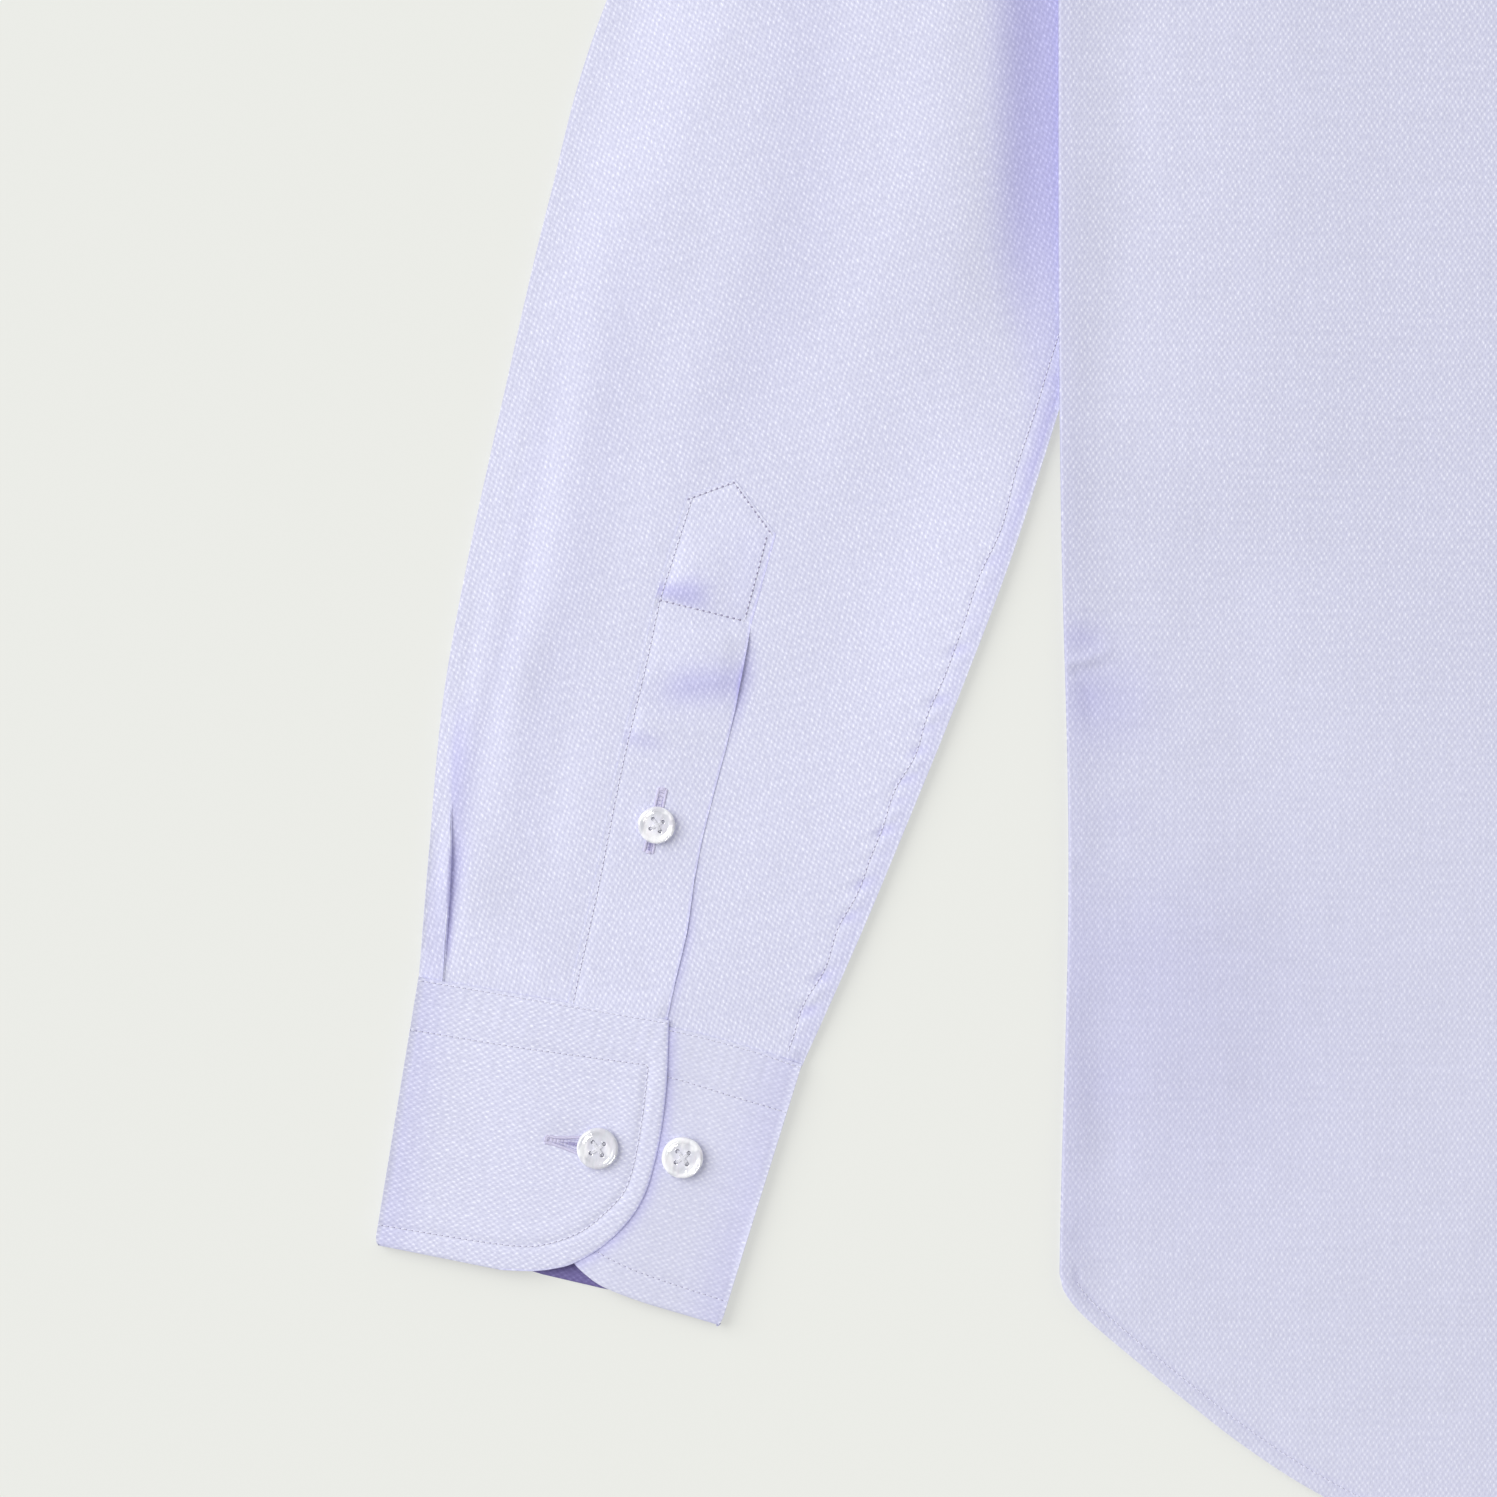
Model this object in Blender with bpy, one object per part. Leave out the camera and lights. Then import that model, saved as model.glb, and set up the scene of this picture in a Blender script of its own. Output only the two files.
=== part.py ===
"""A long sleeve dress shirt laid flat, face down, on a level surface.

Every cut-and-sewn piece is its own closed solid: a wall of cloth between two matching grids of points.
Sizes are in millimetres and become metres when a mesh is made. X runs across the shirt, Y from the hem to
the collar, and Z up from the surface. While the pieces are worked out, X = 0 is the centre line and Y = 0
the bottom of the side seams; ORIGIN_Y then moves the shirt so that its origin is under its middle.
"""

import bmesh
import bpy
import numpy as np

MM = 0.001

# Cloth
PLY = 1.0  # wall of one ply
GAP = 0.3  # clearance between pieces that are sewn together or touch
STEP_UP = PLY + GAP  # from one layer to the next
CUFF_PLY = 1.5  # two plies and an interlining
FOLD_R = (2 * PLY + GAP) / 2.0  # outside radius where one ply folds back over itself

# Body
HALF_CHEST = 260.0
WAIST_NIP = 2.2
WAIST_Y = 115.0
WAIST_SPREAD = 85.0
ARMPIT_Y = 430.0
SHOULDER_X = 232.0
SHOULDER_Y = 636.0
NECK_X = 78.0
NECK_Y = 675.0
NECK_BACK_DIP = 17.0
NECK_FRONT_DIP = 80.0
NECK_FRONT_POWER = 3.0
YOKE_SEAM_Y = 563.0
YOKE_WRAP = 30.0  # how far the yoke comes over the shoulder to the front
HEM_DROP = 95.0
HEM_POWER = 3.0
HEM_CORNER = 0.88
BACK_FULLNESS = 2.0  # height of the soft fullness in the middle of the back
FULL_FROM_Y = -60.0
FULL_TO_Y = YOKE_SEAM_Y + 60.0
FULL_FADE = 160.0

# Where the body rises over the tucked-in sleeves and the collar's front: edge and width of each slope
TUCK_X, TUCK_SLOPE_X = 200.0, 34.0
TUCK_LOW_Y, TUCK_SLOPE_LOW = 188.0, 48.0
TUCK_HIGH_Y, TUCK_SLOPE_HIGH = 494.0, 56.0
COLLAR_RISE_X, COLLAR_SLOPE_X = 150.0, 56.0
COLLAR_RISE_Y, COLLAR_SLOPE_Y = 512.0, 28.0

ARMHOLE = (  # y, half_width
    (430.0, 260.0),
    (433.0, 253.0),
    (440.0, 245.0),
    (459.0, 232.5),
    (480.0, 224.5),
    (510.0, 219.5),
    (548.0, 218.5),
    (590.0, 222.0),
    (636.0, 232.0),
)

# Where a panel's points lie: distances from the centre line and heights up to the armpit
BODY_ACROSS = (0.0, 22.0, 36.0, 50.0, 66.0, 100.0, 122.0, 155.0, 200.0, 217.0, 234.0, 250.0, 257.0, 260.0)
BODY_LEVELS = (12.0, 60.0, 115.0, 188.0, 212.0, 238.0, 300.0, 365.0, 430.0)
HEM_ROWS = 3
FRONT_STEP = 3.0  # least distance from a front's inner edge to its next points

# Button band
BAND_HALF = 17.5
BUTTON_HEIGHT = 2.5
BAND_LIFT = BUTTON_HEIGHT + GAP  # the band lies on its buttons
RIGHT_EDGE_X = -15.0  # the right front reaches this far under the band
BAND_SLOPE = 44.0  # width over which a front comes down beside the band
RIGHT_SLOPE_FROM = 20.0
BACK_SLOPE_FROM = 22.0
FRONT_BUTTON_Y = (535.0, 445.0, 355.0, 265.0, 175.0, 85.0)

# Collar
STAND_HEIGHT = 33.0
STAND_SEAM = 1.2  # clearance along Y between the neckline and the stand
NECK_SEAM = 1.2  # clearance along X beside the steep ends of the front neckline
STAND_TAPER = 3.0
LEAF_BACK = 44.0
LEAF_FLARE = 14.0
LEAF_GAP_HALF = 4.0
LEAF_POINT_X = 62.0
LEAF_POINT_DROP = 80.0
COLLAR_BUTTON_Y = 611.0

# Sleeve: the two folded edges of the flat tube, from the armhole to the cuff
SLEEVE_SECTIONS = (  # outer_x, outer_y, inner_x, inner_y, fullness, level_to
    (232.0, 636.0, 260.0, 430.0, 0.0, 0.66),
    (262.0, 590.0, 252.0, 410.0, 1.0, 0.66),
    (300.0, 530.0, 244.0, 384.0, 2.0, 0.66),
    (345.0, 452.0, 238.0, 348.0, 2.8, 0.70),
    (387.0, 356.0, 240.0, 308.0, 3.2, 0.84),
    (403.0, 300.0, 255.5, 256.0, 3.4, 0.92),
    (416.0, 244.0, 272.0, 204.0, 3.3, 1.00),
    (426.0, 198.0, 288.0, 161.5, 3.1, 1.00),
    (432.6, 160.0, 302.0, 127.0, 2.7, 1.00),
    (436.3, 120.0, 316.7, 92.0, 2.0, 1.00),
    (439.3, 83.4, 331.8, 58.8, 1.0, 1.00),
)
SLEEVE_END = len(SLEEVE_SECTIONS) - 1
ARMHOLE_FADE = 2.2  # sections over which the sleeve loses the armhole's curve
CUFF_FADE = 1.0  # sections over which it takes up the cuff's seam
SLIT_TOP = 6.9  # section at which the placket's slit ends
SLIT_LEFT = 0.43  # shares of the sleeve's width, from its outer edge
SLIT_RIGHT = 0.565
PLEAT_AT = 0.06
PLEAT_HEIGHT = 1.3
PLEAT_TOP = 8.6
FRONT_SEAM_SHARE = 0.146
YOKE_SEAM_SHARE = (SHOULDER_Y - YOKE_SEAM_Y) / (SHOULDER_Y - ARMPIT_Y)
SLEEVE_SHARES = (
    0.02, PLEAT_AT, 0.085, FRONT_SEAM_SHARE, 0.24, YOKE_SEAM_SHARE, SLIT_LEFT, SLIT_RIGHT,
    0.66, 0.76, 0.86, 0.95, 0.985,
)
UNDER_SHARES = (0.03, FRONT_SEAM_SHARE, 0.24, SLIT_LEFT, 0.66, 0.86, 0.95, 0.985)
SLEEVE_STATIONS = (
    0.0, 0.5, 1.1, 1.8, 2.5, 3.2, 3.9, 4.6, 5.3, 6.1, SLIT_TOP, 7.5, 8.1, 8.6, 9.0, 9.4, 9.75, 10.0,
)
FOLD_ANGLES = (50.0, 0.0, -50.0)
SLEEVE_TROUGHS = (  # start_section, start_share, end_section, end_share, depth, half_width
    (4.6, 0.17, 9.4, 0.25, 1.0, 0.085),
    (3.4, 0.40, 5.2, 0.51, 0.9, 0.090),
    (5.8, 0.075, 9.0, 0.11, 0.6, 0.045),
)

# Sleeve placket: the strip that covers the slit, with its pointed top
PLACKET_EDGES = (  # section, left_share, right_share, lift_of_free_edge
    (6.0, 0.385, 0.560, 0.0),
    (6.9, 0.375, 0.569, 0.0),
    (7.2, 0.380, 0.580, 1.6),
    (7.7, 0.384, 0.592, 0.3),
    (8.5, 0.385, 0.597, 0.0),
    (9.1, 0.387, 0.620, 0.7),
    (9.5, 0.388, 0.632, 0.9),
    (10.0, 0.390, 0.648, 0.2),
)
PLACKET_TOP = (  # across_the_strip, section
    (0.0, 6.22),
    (0.43, 6.06),
    (1.0, 6.30),
)
PLACKET_BUTTON = (8.47, 0.494)  # section, share
UNDERLAP_LEFT = 0.445
SLIT_SIDE_GAP = 0.003  # clearances round the underlap, as a share of the width and as part of a section
SLIT_END_GAP = 0.03

# Cuff: corners of its three layers, at the seam (top) and at the open edge (bottom)
CUFF_TOP_OUTER = (439.3, 83.4)
CUFF_TOP_INNER = (331.8, 58.8)
CUFF_LOW_OUTER = (451.4, 9.5)
CUFF_LOW_INNER = (354.2, -13.2)
OVERLAP_TOP = (369.0, 71.4)
OVERLAP_LOW = (380.5, -4.5)
UNDERLAP_TOP = (399.6, 73.6)
UNDERLAP_LOW = (403.8, 1.4)
UNDERLAP_BOW = 2.5
CUFF_HEIGHT = 75.0
CUFF_CORNER = 25.0
OVERLAP_LEVEL = 0.60  # share of the overlap at which it lies on the underlap
CUFF_ROWS = (0.0, 0.25, 0.5, 0.67, 0.8, 0.9, 0.97, 1.0)
CUFF_COLUMNS = (0.04, 0.16, 0.3, 0.45, 0.6, 0.8, 1.0)
CUFF_UNDER_COLUMNS = (0.03, 0.2, 0.4, 0.6, 0.8, 0.97)
CUFF_FOLD_R = (2 * CUFF_PLY + GAP) / 2.0
CUFF_BUTTON_OVER = (389.0, 35.6)
CUFF_BUTTON_UNDER = (365.3, 33.0)

# Buttons: outside radius and thickness; the holes lie on a small circle
CUFF_BUTTON_R = 5.7
PLACKET_BUTTON_R = 5.1
HOLE_CIRCLE = 2.15
HOLE_R = 0.65
HOLE_SIDES = 5
BUTTON_SIDES = 14
BUTTON_PROFILE = (  # radius as a share, height as a share
    (0.62, 0.66),
    (0.86, 1.00),
    (1.00, 0.70),
    (0.80, 0.00),
)
BUTTON_TURN = np.radians(8.0)

COLLAR_TOP_Y = NECK_Y + STAND_HEIGHT
ORIGIN_Y = (COLLAR_TOP_Y - HEM_DROP) / 2.0

CLOTH_COLOUR = (0.70, 0.71, 0.88, 1.0)
BUTTON_COLOUR = (0.86, 0.87, 0.90, 1.0)


# ---------------------------------------------------------------- curves and fields


def ease(share):
    """0 below 0, 1 above 1 and smooth between them."""
    t = np.clip(share, 0.0, 1.0)
    return t * t * (3.0 - 2.0 * t)


def column(table, index):
    return np.array([row[index] for row in table])


def smooth_rows(table, at):
    """A table's rows read at whole and part row numbers, on a smooth curve through them."""
    rows = np.array(table, dtype=float)
    before = 2 * rows[0] - rows[1]
    after = 2 * rows[-1] - rows[-2]
    rows = np.vstack([before, rows, after])
    at = np.clip(np.asarray(at, dtype=float), 0.0, len(table) - 1.0)
    first = np.minimum(at.astype(int), len(table) - 2)
    t = (at - first)[..., None]
    a, b, c, d = (rows[first + k] for k in range(4))
    return 0.5 * (2 * b + (c - a) * t + (2 * a - 5 * b + 4 * c - d) * t**2 + (3 * b - a - 3 * c + d) * t**3)


def half_width(y):
    """From the centre line to the side seam below the armpit, and to the armhole above it."""
    side = HALF_CHEST - WAIST_NIP * np.exp(-(((y - WAIST_Y) / WAIST_SPREAD) ** 2))
    armhole = np.interp(y, column(ARMHOLE, 0), column(ARMHOLE, 1))
    return np.where(y < ARMPIT_Y, side, armhole)


def hem_y(x):
    """The shirt tail: deepest at the centre, with a rounded corner at each side seam."""
    inward = np.clip(np.abs(x) / HALF_CHEST, 0.0, 1.0)
    return -HEM_DROP * (1.0 - inward**HEM_POWER) ** HEM_CORNER


def shoulder_y(x):
    return NECK_Y - (np.abs(x) - NECK_X) * (NECK_Y - SHOULDER_Y) / (SHOULDER_X - NECK_X)


def neck_back_y(x):
    return NECK_Y - NECK_BACK_DIP * (1.0 - (x / NECK_X) ** 2)


def neck_front_y(x):
    return NECK_Y - NECK_FRONT_DIP * (1.0 - np.abs(x / NECK_X) ** NECK_FRONT_POWER)


def neck_front_x(y):
    rise = np.clip((y - NECK_Y + NECK_FRONT_DIP) / NECK_FRONT_DIP, 0.0, 1.0)
    return NECK_X * rise ** (1.0 / NECK_FRONT_POWER)


def sleeve_lift(x, y):
    """How far the body rises to lie on the two layers of each sleeve that are tucked under its sides."""
    across = ease((np.abs(x) - TUCK_X) / TUCK_SLOPE_X)
    along = ease((y - TUCK_LOW_Y) / TUCK_SLOPE_LOW) * ease((TUCK_HIGH_Y - y) / TUCK_SLOPE_HIGH)
    return 2 * STEP_UP * across * along


def collar_lift(x, y):
    """How far the fronts rise to lie on the collar's front, which is under them."""
    across = ease((COLLAR_RISE_X - np.abs(x)) / COLLAR_SLOPE_X)
    return STEP_UP * across * ease((y - COLLAR_RISE_Y) / COLLAR_SLOPE_Y)


def front_base(x, y, band_share, band_lift):
    return band_share * band_lift + (1.0 - band_share) * collar_lift(x, y) + sleeve_lift(x, y)


def left_front_base(x, y):
    return front_base(x, y, ease((BAND_HALF + BAND_SLOPE - np.abs(x)) / BAND_SLOPE), BAND_LIFT)


def right_front_base(x, y):
    return front_base(x, y, ease((RIGHT_SLOPE_FROM + BAND_SLOPE - x) / BAND_SLOPE), BAND_LIFT + STEP_UP)


def back_base(x, y):
    """Underside of the back and the yoke, which lie on both fronts."""
    share = ease((BACK_SLOPE_FROM + BAND_SLOPE - np.abs(x)) / BAND_SLOPE)
    dome = BACK_FULLNESS * (1.0 - (np.abs(x) / HALF_CHEST) ** 3)
    dome = dome * ease((y - FULL_FROM_Y) / FULL_FADE) * ease((FULL_TO_Y - y) / FULL_FADE)
    return STEP_UP + front_base(x, y, share, BAND_LIFT + STEP_UP) + dome


# ---------------------------------------------------------------- making solids


def mirrored(points, side):
    """Points worked out for +X, moved to the given side."""
    return np.asarray(points) * np.array([side, 1.0, 1.0])


def material(name, colour, roughness):
    mat = bpy.data.materials.new(name)
    mat.use_nodes = True
    shader = mat.node_tree.nodes["Principled BSDF"]
    shader.inputs["Base Color"].default_value = colour
    shader.inputs["Roughness"].default_value = roughness
    shader.inputs["Metallic"].default_value = 0.0
    return mat


def add_object(name, bm, colour, roughness):
    bmesh.ops.recalc_face_normals(bm, faces=bm.faces)
    mesh = bpy.data.meshes.new(name)
    bm.to_mesh(mesh)
    bm.free()
    mesh.shade_smooth()
    mesh.set_sharp_from_angle(angle=np.radians(40.0))
    mesh.materials.append(material(name, colour, roughness))
    obj = bpy.data.objects.new(name, mesh)
    bpy.context.collection.objects.link(obj)
    return obj


def to_metres(points):
    return (np.asarray(points, dtype=float) - np.array([0.0, ORIGIN_Y, 0.0])) * MM


def wall(name, outside, inside, ring=False, present=None):
    """A closed wall of cloth between two grids of points, its edges closed round every missing cell."""
    rows, columns = outside.shape[:2]
    across = columns if ring else columns - 1
    kept = np.ones((rows - 1, across), dtype=bool) if present is None else present
    bm = bmesh.new()
    made = {}

    def vert(layer, i, j):
        key = (layer, i, j % columns)
        if key not in made:
            made[key] = bm.verts.new(to_metres((outside, inside)[layer][i, j % columns]))
        return made[key]

    def is_kept(i, j):
        if ring:
            j = j % columns
        return 0 <= i < rows - 1 and 0 <= j < across and kept[i, j]

    for i in range(rows - 1):
        for j in range(across):
            if not kept[i, j]:
                continue
            corners = ((i, j), (i, j + 1), (i + 1, j + 1), (i + 1, j))
            bm.faces.new([vert(0, *corner) for corner in corners])
            bm.faces.new([vert(1, *corner) for corner in reversed(corners)])
            neighbours = ((i - 1, j), (i, j + 1), (i + 1, j), (i, j - 1))
            for k, neighbour in enumerate(neighbours):
                if not is_kept(*neighbour):
                    a, b = corners[k], corners[(k + 1) % 4]
                    bm.faces.new([vert(0, *b), vert(0, *a), vert(1, *a), vert(1, *b)])
    return add_object(name, bm, CLOTH_COLOUR, 0.75)


def sheet(name, x, y, base):
    """A wall of one ply that lies on a surface whose height is known at each point."""
    under = np.stack([x, y, base], axis=-1)
    over = np.stack([x, y, base + PLY], axis=-1)
    return wall(name, over, under)


# ---------------------------------------------------------------- body


def armhole_levels(share_from):
    """Heights of the armhole's points, from just above the armpit to a share of the sleeve's width."""
    shares = np.array([s for s in reversed(SLEEVE_SHARES) if s >= share_from - 1e-9])
    return SHOULDER_Y - (SHOULDER_Y - ARMPIT_Y) * shares


def body_rows(hem, top, side_levels):
    """Heights of a panel's rows: from its curved hem, level across the body, and up to its shaped top."""
    rows = [hem + (BODY_LEVELS[0] - hem) * k / HEM_ROWS for k in range(HEM_ROWS)]
    rows += [np.full_like(hem, level) for level in BODY_LEVELS]
    span = side_levels[-1] - ARMPIT_Y
    rows += [ARMPIT_Y + (top - ARMPIT_Y) * (level - ARMPIT_Y) / span for level in side_levels]
    return np.array(rows)


def back():
    nominal = np.array([-x for x in BODY_ACROSS[:0:-1]] + list(BODY_ACROSS))
    across = nominal / HALF_CHEST
    levels = armhole_levels(YOKE_SEAM_SHARE)
    y = body_rows(hem_y(nominal), np.full_like(nominal, YOKE_SEAM_Y), levels)
    x = across * half_width(y[:, :1])
    sheet("back", x, y, back_base(x, y))


def front(name, side, inner_x, base):
    """One front, from its side seam to the edge under the button band."""
    nominal = np.array([inner_x] + [x for x in BODY_ACROSS if x > inner_x + FRONT_STEP])
    levels = armhole_levels(FRONT_SEAM_SHARE)
    inner_to_side = (nominal - inner_x) / (HALF_CHEST - inner_x)
    at_top = inner_x + (half_width(levels[-1]) - inner_x) * inner_to_side
    top = np.minimum(shoulder_y(at_top) - YOKE_WRAP, neck_front_y(at_top)) - GAP
    y = body_rows(hem_y(nominal), top, levels)
    x = side * (inner_x + (half_width(y[:, -1:]) - inner_x) * inner_to_side)
    sheet(name, x, y, base(x, y))


def front_placket():
    across = np.array([-BAND_HALF, 0.0, BAND_HALF])
    y = body_rows(hem_y(across), neck_front_y(across) - GAP, armhole_levels(FRONT_SEAM_SHARE))
    x = np.broadcast_to(across, y.shape)
    sheet("front_placket", x, y, left_front_base(x, y))


def yoke():
    """The shoulder piece: it lies on the upper back, turns over each shoulder and ends on the fronts."""
    neck_share = NECK_X / SHOULDER_X
    shares = np.array([0.0, 0.095, 0.155, 0.215, 0.28, neck_share, 0.405, 0.51, 0.62, 0.75, 0.88, 1.0])
    shares = np.concatenate([-shares[:0:-1], shares])
    width = np.abs(shares) * SHOULDER_X
    over_shoulder = width > NECK_X - 0.01
    top = np.where(over_shoulder, shoulder_y(width), neck_back_y(width)) - FOLD_R
    rows = []
    for share in (YOKE_SEAM_SHARE, 0.24, FRONT_SEAM_SHARE, 0.085, 0.045):
        climb = (YOKE_SEAM_SHARE - share) / YOKE_SEAM_SHARE
        y = YOKE_SEAM_Y + GAP + (top - YOKE_SEAM_Y - GAP) * climb
        x = shares * half_width(SHOULDER_Y - (SHOULDER_Y - ARMPIT_Y) * share)
        base = back_base(x, y)
        rows.append((x, y, base + PLY, y, base))
    folded_x = shares * SHOULDER_X
    middle = left_front_base(folded_x, top) + FOLD_R
    flat_top = back_base(folded_x, top) + PLY
    for angle in np.radians((90.0, 45.0, 0.0, -45.0, -90.0)):
        lift = FOLD_R * np.sin(angle)
        inner_r = FOLD_R - PLY
        z_out = np.where(over_shoulder, middle + lift, flat_top)
        z_in = np.where(over_shoulder, middle + inner_r * np.sin(angle), flat_top - PLY)
        rows.append((folded_x, top + FOLD_R * np.cos(angle), z_out, top + inner_r * np.cos(angle), z_in))
    for down in (YOKE_WRAP / 2, YOKE_WRAP):
        neck_x = neck_front_x(NECK_Y - down) + NECK_SEAM
        spread = (np.abs(shares) - neck_share) / (1.0 - neck_share)
        x = np.sign(shares) * (neck_x + (half_width(SHOULDER_Y - down) - neck_x) * spread)
        y = shoulder_y(x) - down
        base = left_front_base(x, y)
        rows.append((x, y, base, y, base + PLY))
    outside = np.array([np.stack([x, y, z], axis=-1) for x, y, z, _, _ in rows])
    inside = np.array([np.stack([x, y, z], axis=-1) for x, _, _, y, z in rows])
    present = np.ones((len(rows) - 1, len(shares) - 1), dtype=bool)
    off_the_neck = np.abs(shares[:-1] + shares[1:]) > neck_share
    present[5:, :] = over_shoulder[:-1] & over_shoulder[1:] & off_the_neck
    wall("yoke", outside, inside, present=present)


# ---------------------------------------------------------------- collar


def side_fold(side, x, y, middle, fold_r):
    """Points round a folded side of the flattened collar, from its upper to its lower layer."""
    outer, inner = [], []
    for angle in np.radians(FOLD_ANGLES):
        for points, radius in ((outer, fold_r), (inner, fold_r - PLY)):
            inset = fold_r - radius * np.cos(angle)
            points.append([side * (x - inset), y, middle + radius * np.sin(angle)])
    return outer, inner


def ring_points(parts):
    """The parts of a ring one after the other, as its outer and its inner points."""
    return tuple(np.concatenate([np.asarray(part[k]) for part in parts]) for k in (0, 1))


def layer(x, y, outer_z, inner_z):
    return np.stack([x, y, outer_z], axis=-1), np.stack([x, y, inner_z], axis=-1)


def turned(part):
    return part[0][::-1], part[1][::-1]


def stand_ring(climb):
    """One level of the flattened collar stand: back from left to right, then front from right to left."""
    side_x = NECK_X - STAND_TAPER * climb
    side_y = NECK_Y + STAND_SEAM + (STAND_HEIGHT - STAND_SEAM) * climb
    share = np.array([-0.96, -0.86, -0.7, -0.5, -0.3, 0.0, 0.3, 0.5, 0.7, 0.86, 0.96])
    x = share * side_x
    back_y = side_y - NECK_BACK_DIP * (1.0 - share**2)
    front_y = side_y - NECK_FRONT_DIP * (1.0 - np.abs(share) ** NECK_FRONT_POWER)
    back_under = back_base(x, back_y)
    front_under = left_front_base(x, front_y)
    middle = left_front_base(side_x, side_y) + FOLD_R
    parts = [
        layer(x, back_y, back_under + PLY, back_under),
        side_fold(1.0, side_x, side_y, middle, FOLD_R),
        turned(layer(x, front_y, front_under, front_under + PLY)),
        turned(side_fold(-1.0, side_x, side_y, middle, FOLD_R)),
    ]
    return ring_points(parts)


def collar_stand():
    levels = [stand_ring(climb) for climb in (0.0, 0.35, 0.7, 0.96)]
    outside = np.array([level[0] for level in levels])
    inside = np.array([level[1] for level in levels])
    wall("collar_stand", outside, inside, ring=True)


def leaf_strip(down):
    """One level of the folded-down collar: front left, over the back, front right."""
    side_x = NECK_X - STAND_TAPER + STEP_UP + LEAF_FLARE * down
    side_y = COLLAR_TOP_Y - STAND_HEIGHT * down
    edge_x = LEAF_GAP_HALF + (LEAF_POINT_X - LEAF_GAP_HALF) * down
    edge_y = COLLAR_TOP_Y - NECK_FRONT_DIP - LEAF_POINT_DROP * down
    back_y = COLLAR_TOP_Y - NECK_BACK_DIP - LEAF_BACK * down
    along = np.array([0.0, 0.25, 0.5, 0.72, 0.90])
    front_x = edge_x + (side_x - edge_x) * along
    front_y = edge_y + (side_y - edge_y) * along ** (NECK_FRONT_POWER - 2.0 * down)
    share = np.array([-0.95, -0.8, -0.6, -0.3, 0.0, 0.3, 0.6, 0.8, 0.95])
    x = share * side_x
    y = side_y - (side_y - back_y) * (1.0 - share**2)
    base = back_base(x, y) + STEP_UP
    fold_r = (back_base(side_x, side_y) + STEP_UP + PLY) / 2.0
    flat = np.zeros_like(front_x)
    parts = [
        layer(-front_x, front_y, flat, flat + PLY),
        turned(side_fold(-1.0, side_x, side_y, fold_r, fold_r)),
        layer(x, y, base + PLY, base),
        side_fold(1.0, side_x, side_y, fold_r, fold_r),
        turned(layer(front_x, front_y, flat, flat + PLY)),
    ]
    return ring_points(parts)


def collar_leaf():
    levels = [leaf_strip(down) for down in (0.0, 0.3, 0.6, 0.82, 1.0)]
    outside = np.array([level[0] for level in levels])
    inside = np.array([level[1] for level in levels])
    wall("collar_leaf", outside, inside)


# ---------------------------------------------------------------- sleeve


def line_y(start, end, x):
    """Height at x of the straight line between two points."""
    return start[1] + (end[1] - start[1]) * (x - start[0]) / (end[0] - start[0])


def overlap_seam_y(x):
    return line_y(CUFF_TOP_OUTER, OVERLAP_TOP, x)


def underlap_seam_y(x):
    share = (x - UNDERLAP_TOP[0]) / (CUFF_TOP_INNER[0] - UNDERLAP_TOP[0])
    return line_y(UNDERLAP_TOP, CUFF_TOP_INNER, x) + 4.0 * UNDERLAP_BOW * share * (1.0 - share)


def inner_seam_y(x):
    return line_y(CUFF_TOP_OUTER, CUFF_TOP_INNER, x)


def sleeve_plan(section, share, seam_y):
    """Where a point of the flat sleeve lies: section counts from the armhole, share from the outer edge."""
    outer_x, outer_y, inner_x, inner_y = np.moveaxis(smooth_rows(SLEEVE_SECTIONS, section), -1, 0)[:4]
    x = outer_x + (inner_x - outer_x) * share
    y = outer_y + (inner_y - outer_y) * share
    armhole_y = SHOULDER_Y + (ARMPIT_Y - SHOULDER_Y) * share
    chord_x = SHOULDER_X + (HALF_CHEST - SHOULDER_X) * share
    armhole = half_width(armhole_y) + GAP - chord_x
    x = x + armhole * np.clip(1.0 - section / ARMHOLE_FADE, 0.0, 1.0) ** 3
    to_cuff = ease((section - SLEEVE_END + CUFF_FADE) / CUFF_FADE)
    seam_shift = seam_y(x) + GAP - inner_seam_y(x)
    return x, y + seam_shift * to_cuff


def sleeve_rise(section, share):
    """Underside of the sleeve's upper layer, with its soft fullness, its troughs and the cuff's pleat."""
    section, share = np.broadcast_arrays(np.asarray(section, dtype=float), np.asarray(share, dtype=float))
    rows = smooth_rows(SLEEVE_SECTIONS, section)
    fullness, level_to = rows[..., 4], rows[..., 5]
    dome = np.sin(np.pi * np.clip(share / level_to, 0.0, 1.0)) ** 0.7
    hollow = fullness * dome
    for start, start_share, end, end_share, depth, half in SLEEVE_TROUGHS:
        along = (section - start) / (end - start)
        centre = start_share + (end_share - start_share) * along
        fade = ease(np.minimum(along, 1.0 - along) * 4.0)
        hollow = hollow - depth * fade * np.exp(-(((share - centre) / half) ** 2)) * dome
    pleat = PLEAT_HEIGHT * ease(section - PLEAT_TOP) * (share <= PLEAT_AT) * ease(share / PLEAT_AT)
    return STEP_UP + np.maximum(hollow, 0.0) + pleat


def sleeve_top_y(share):
    return overlap_seam_y if share < (SLIT_LEFT + SLIT_RIGHT) / 2 else underlap_seam_y


def sleeve_column(share, stations):
    """Points of the sleeve's upper layer at one share of its width: top and underside."""
    x, y = sleeve_plan(stations, share, sleeve_top_y(share))
    rise = sleeve_rise(stations, share)
    return np.stack([x, y, rise + PLY], axis=-1), np.stack([x, y, rise], axis=-1)


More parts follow.
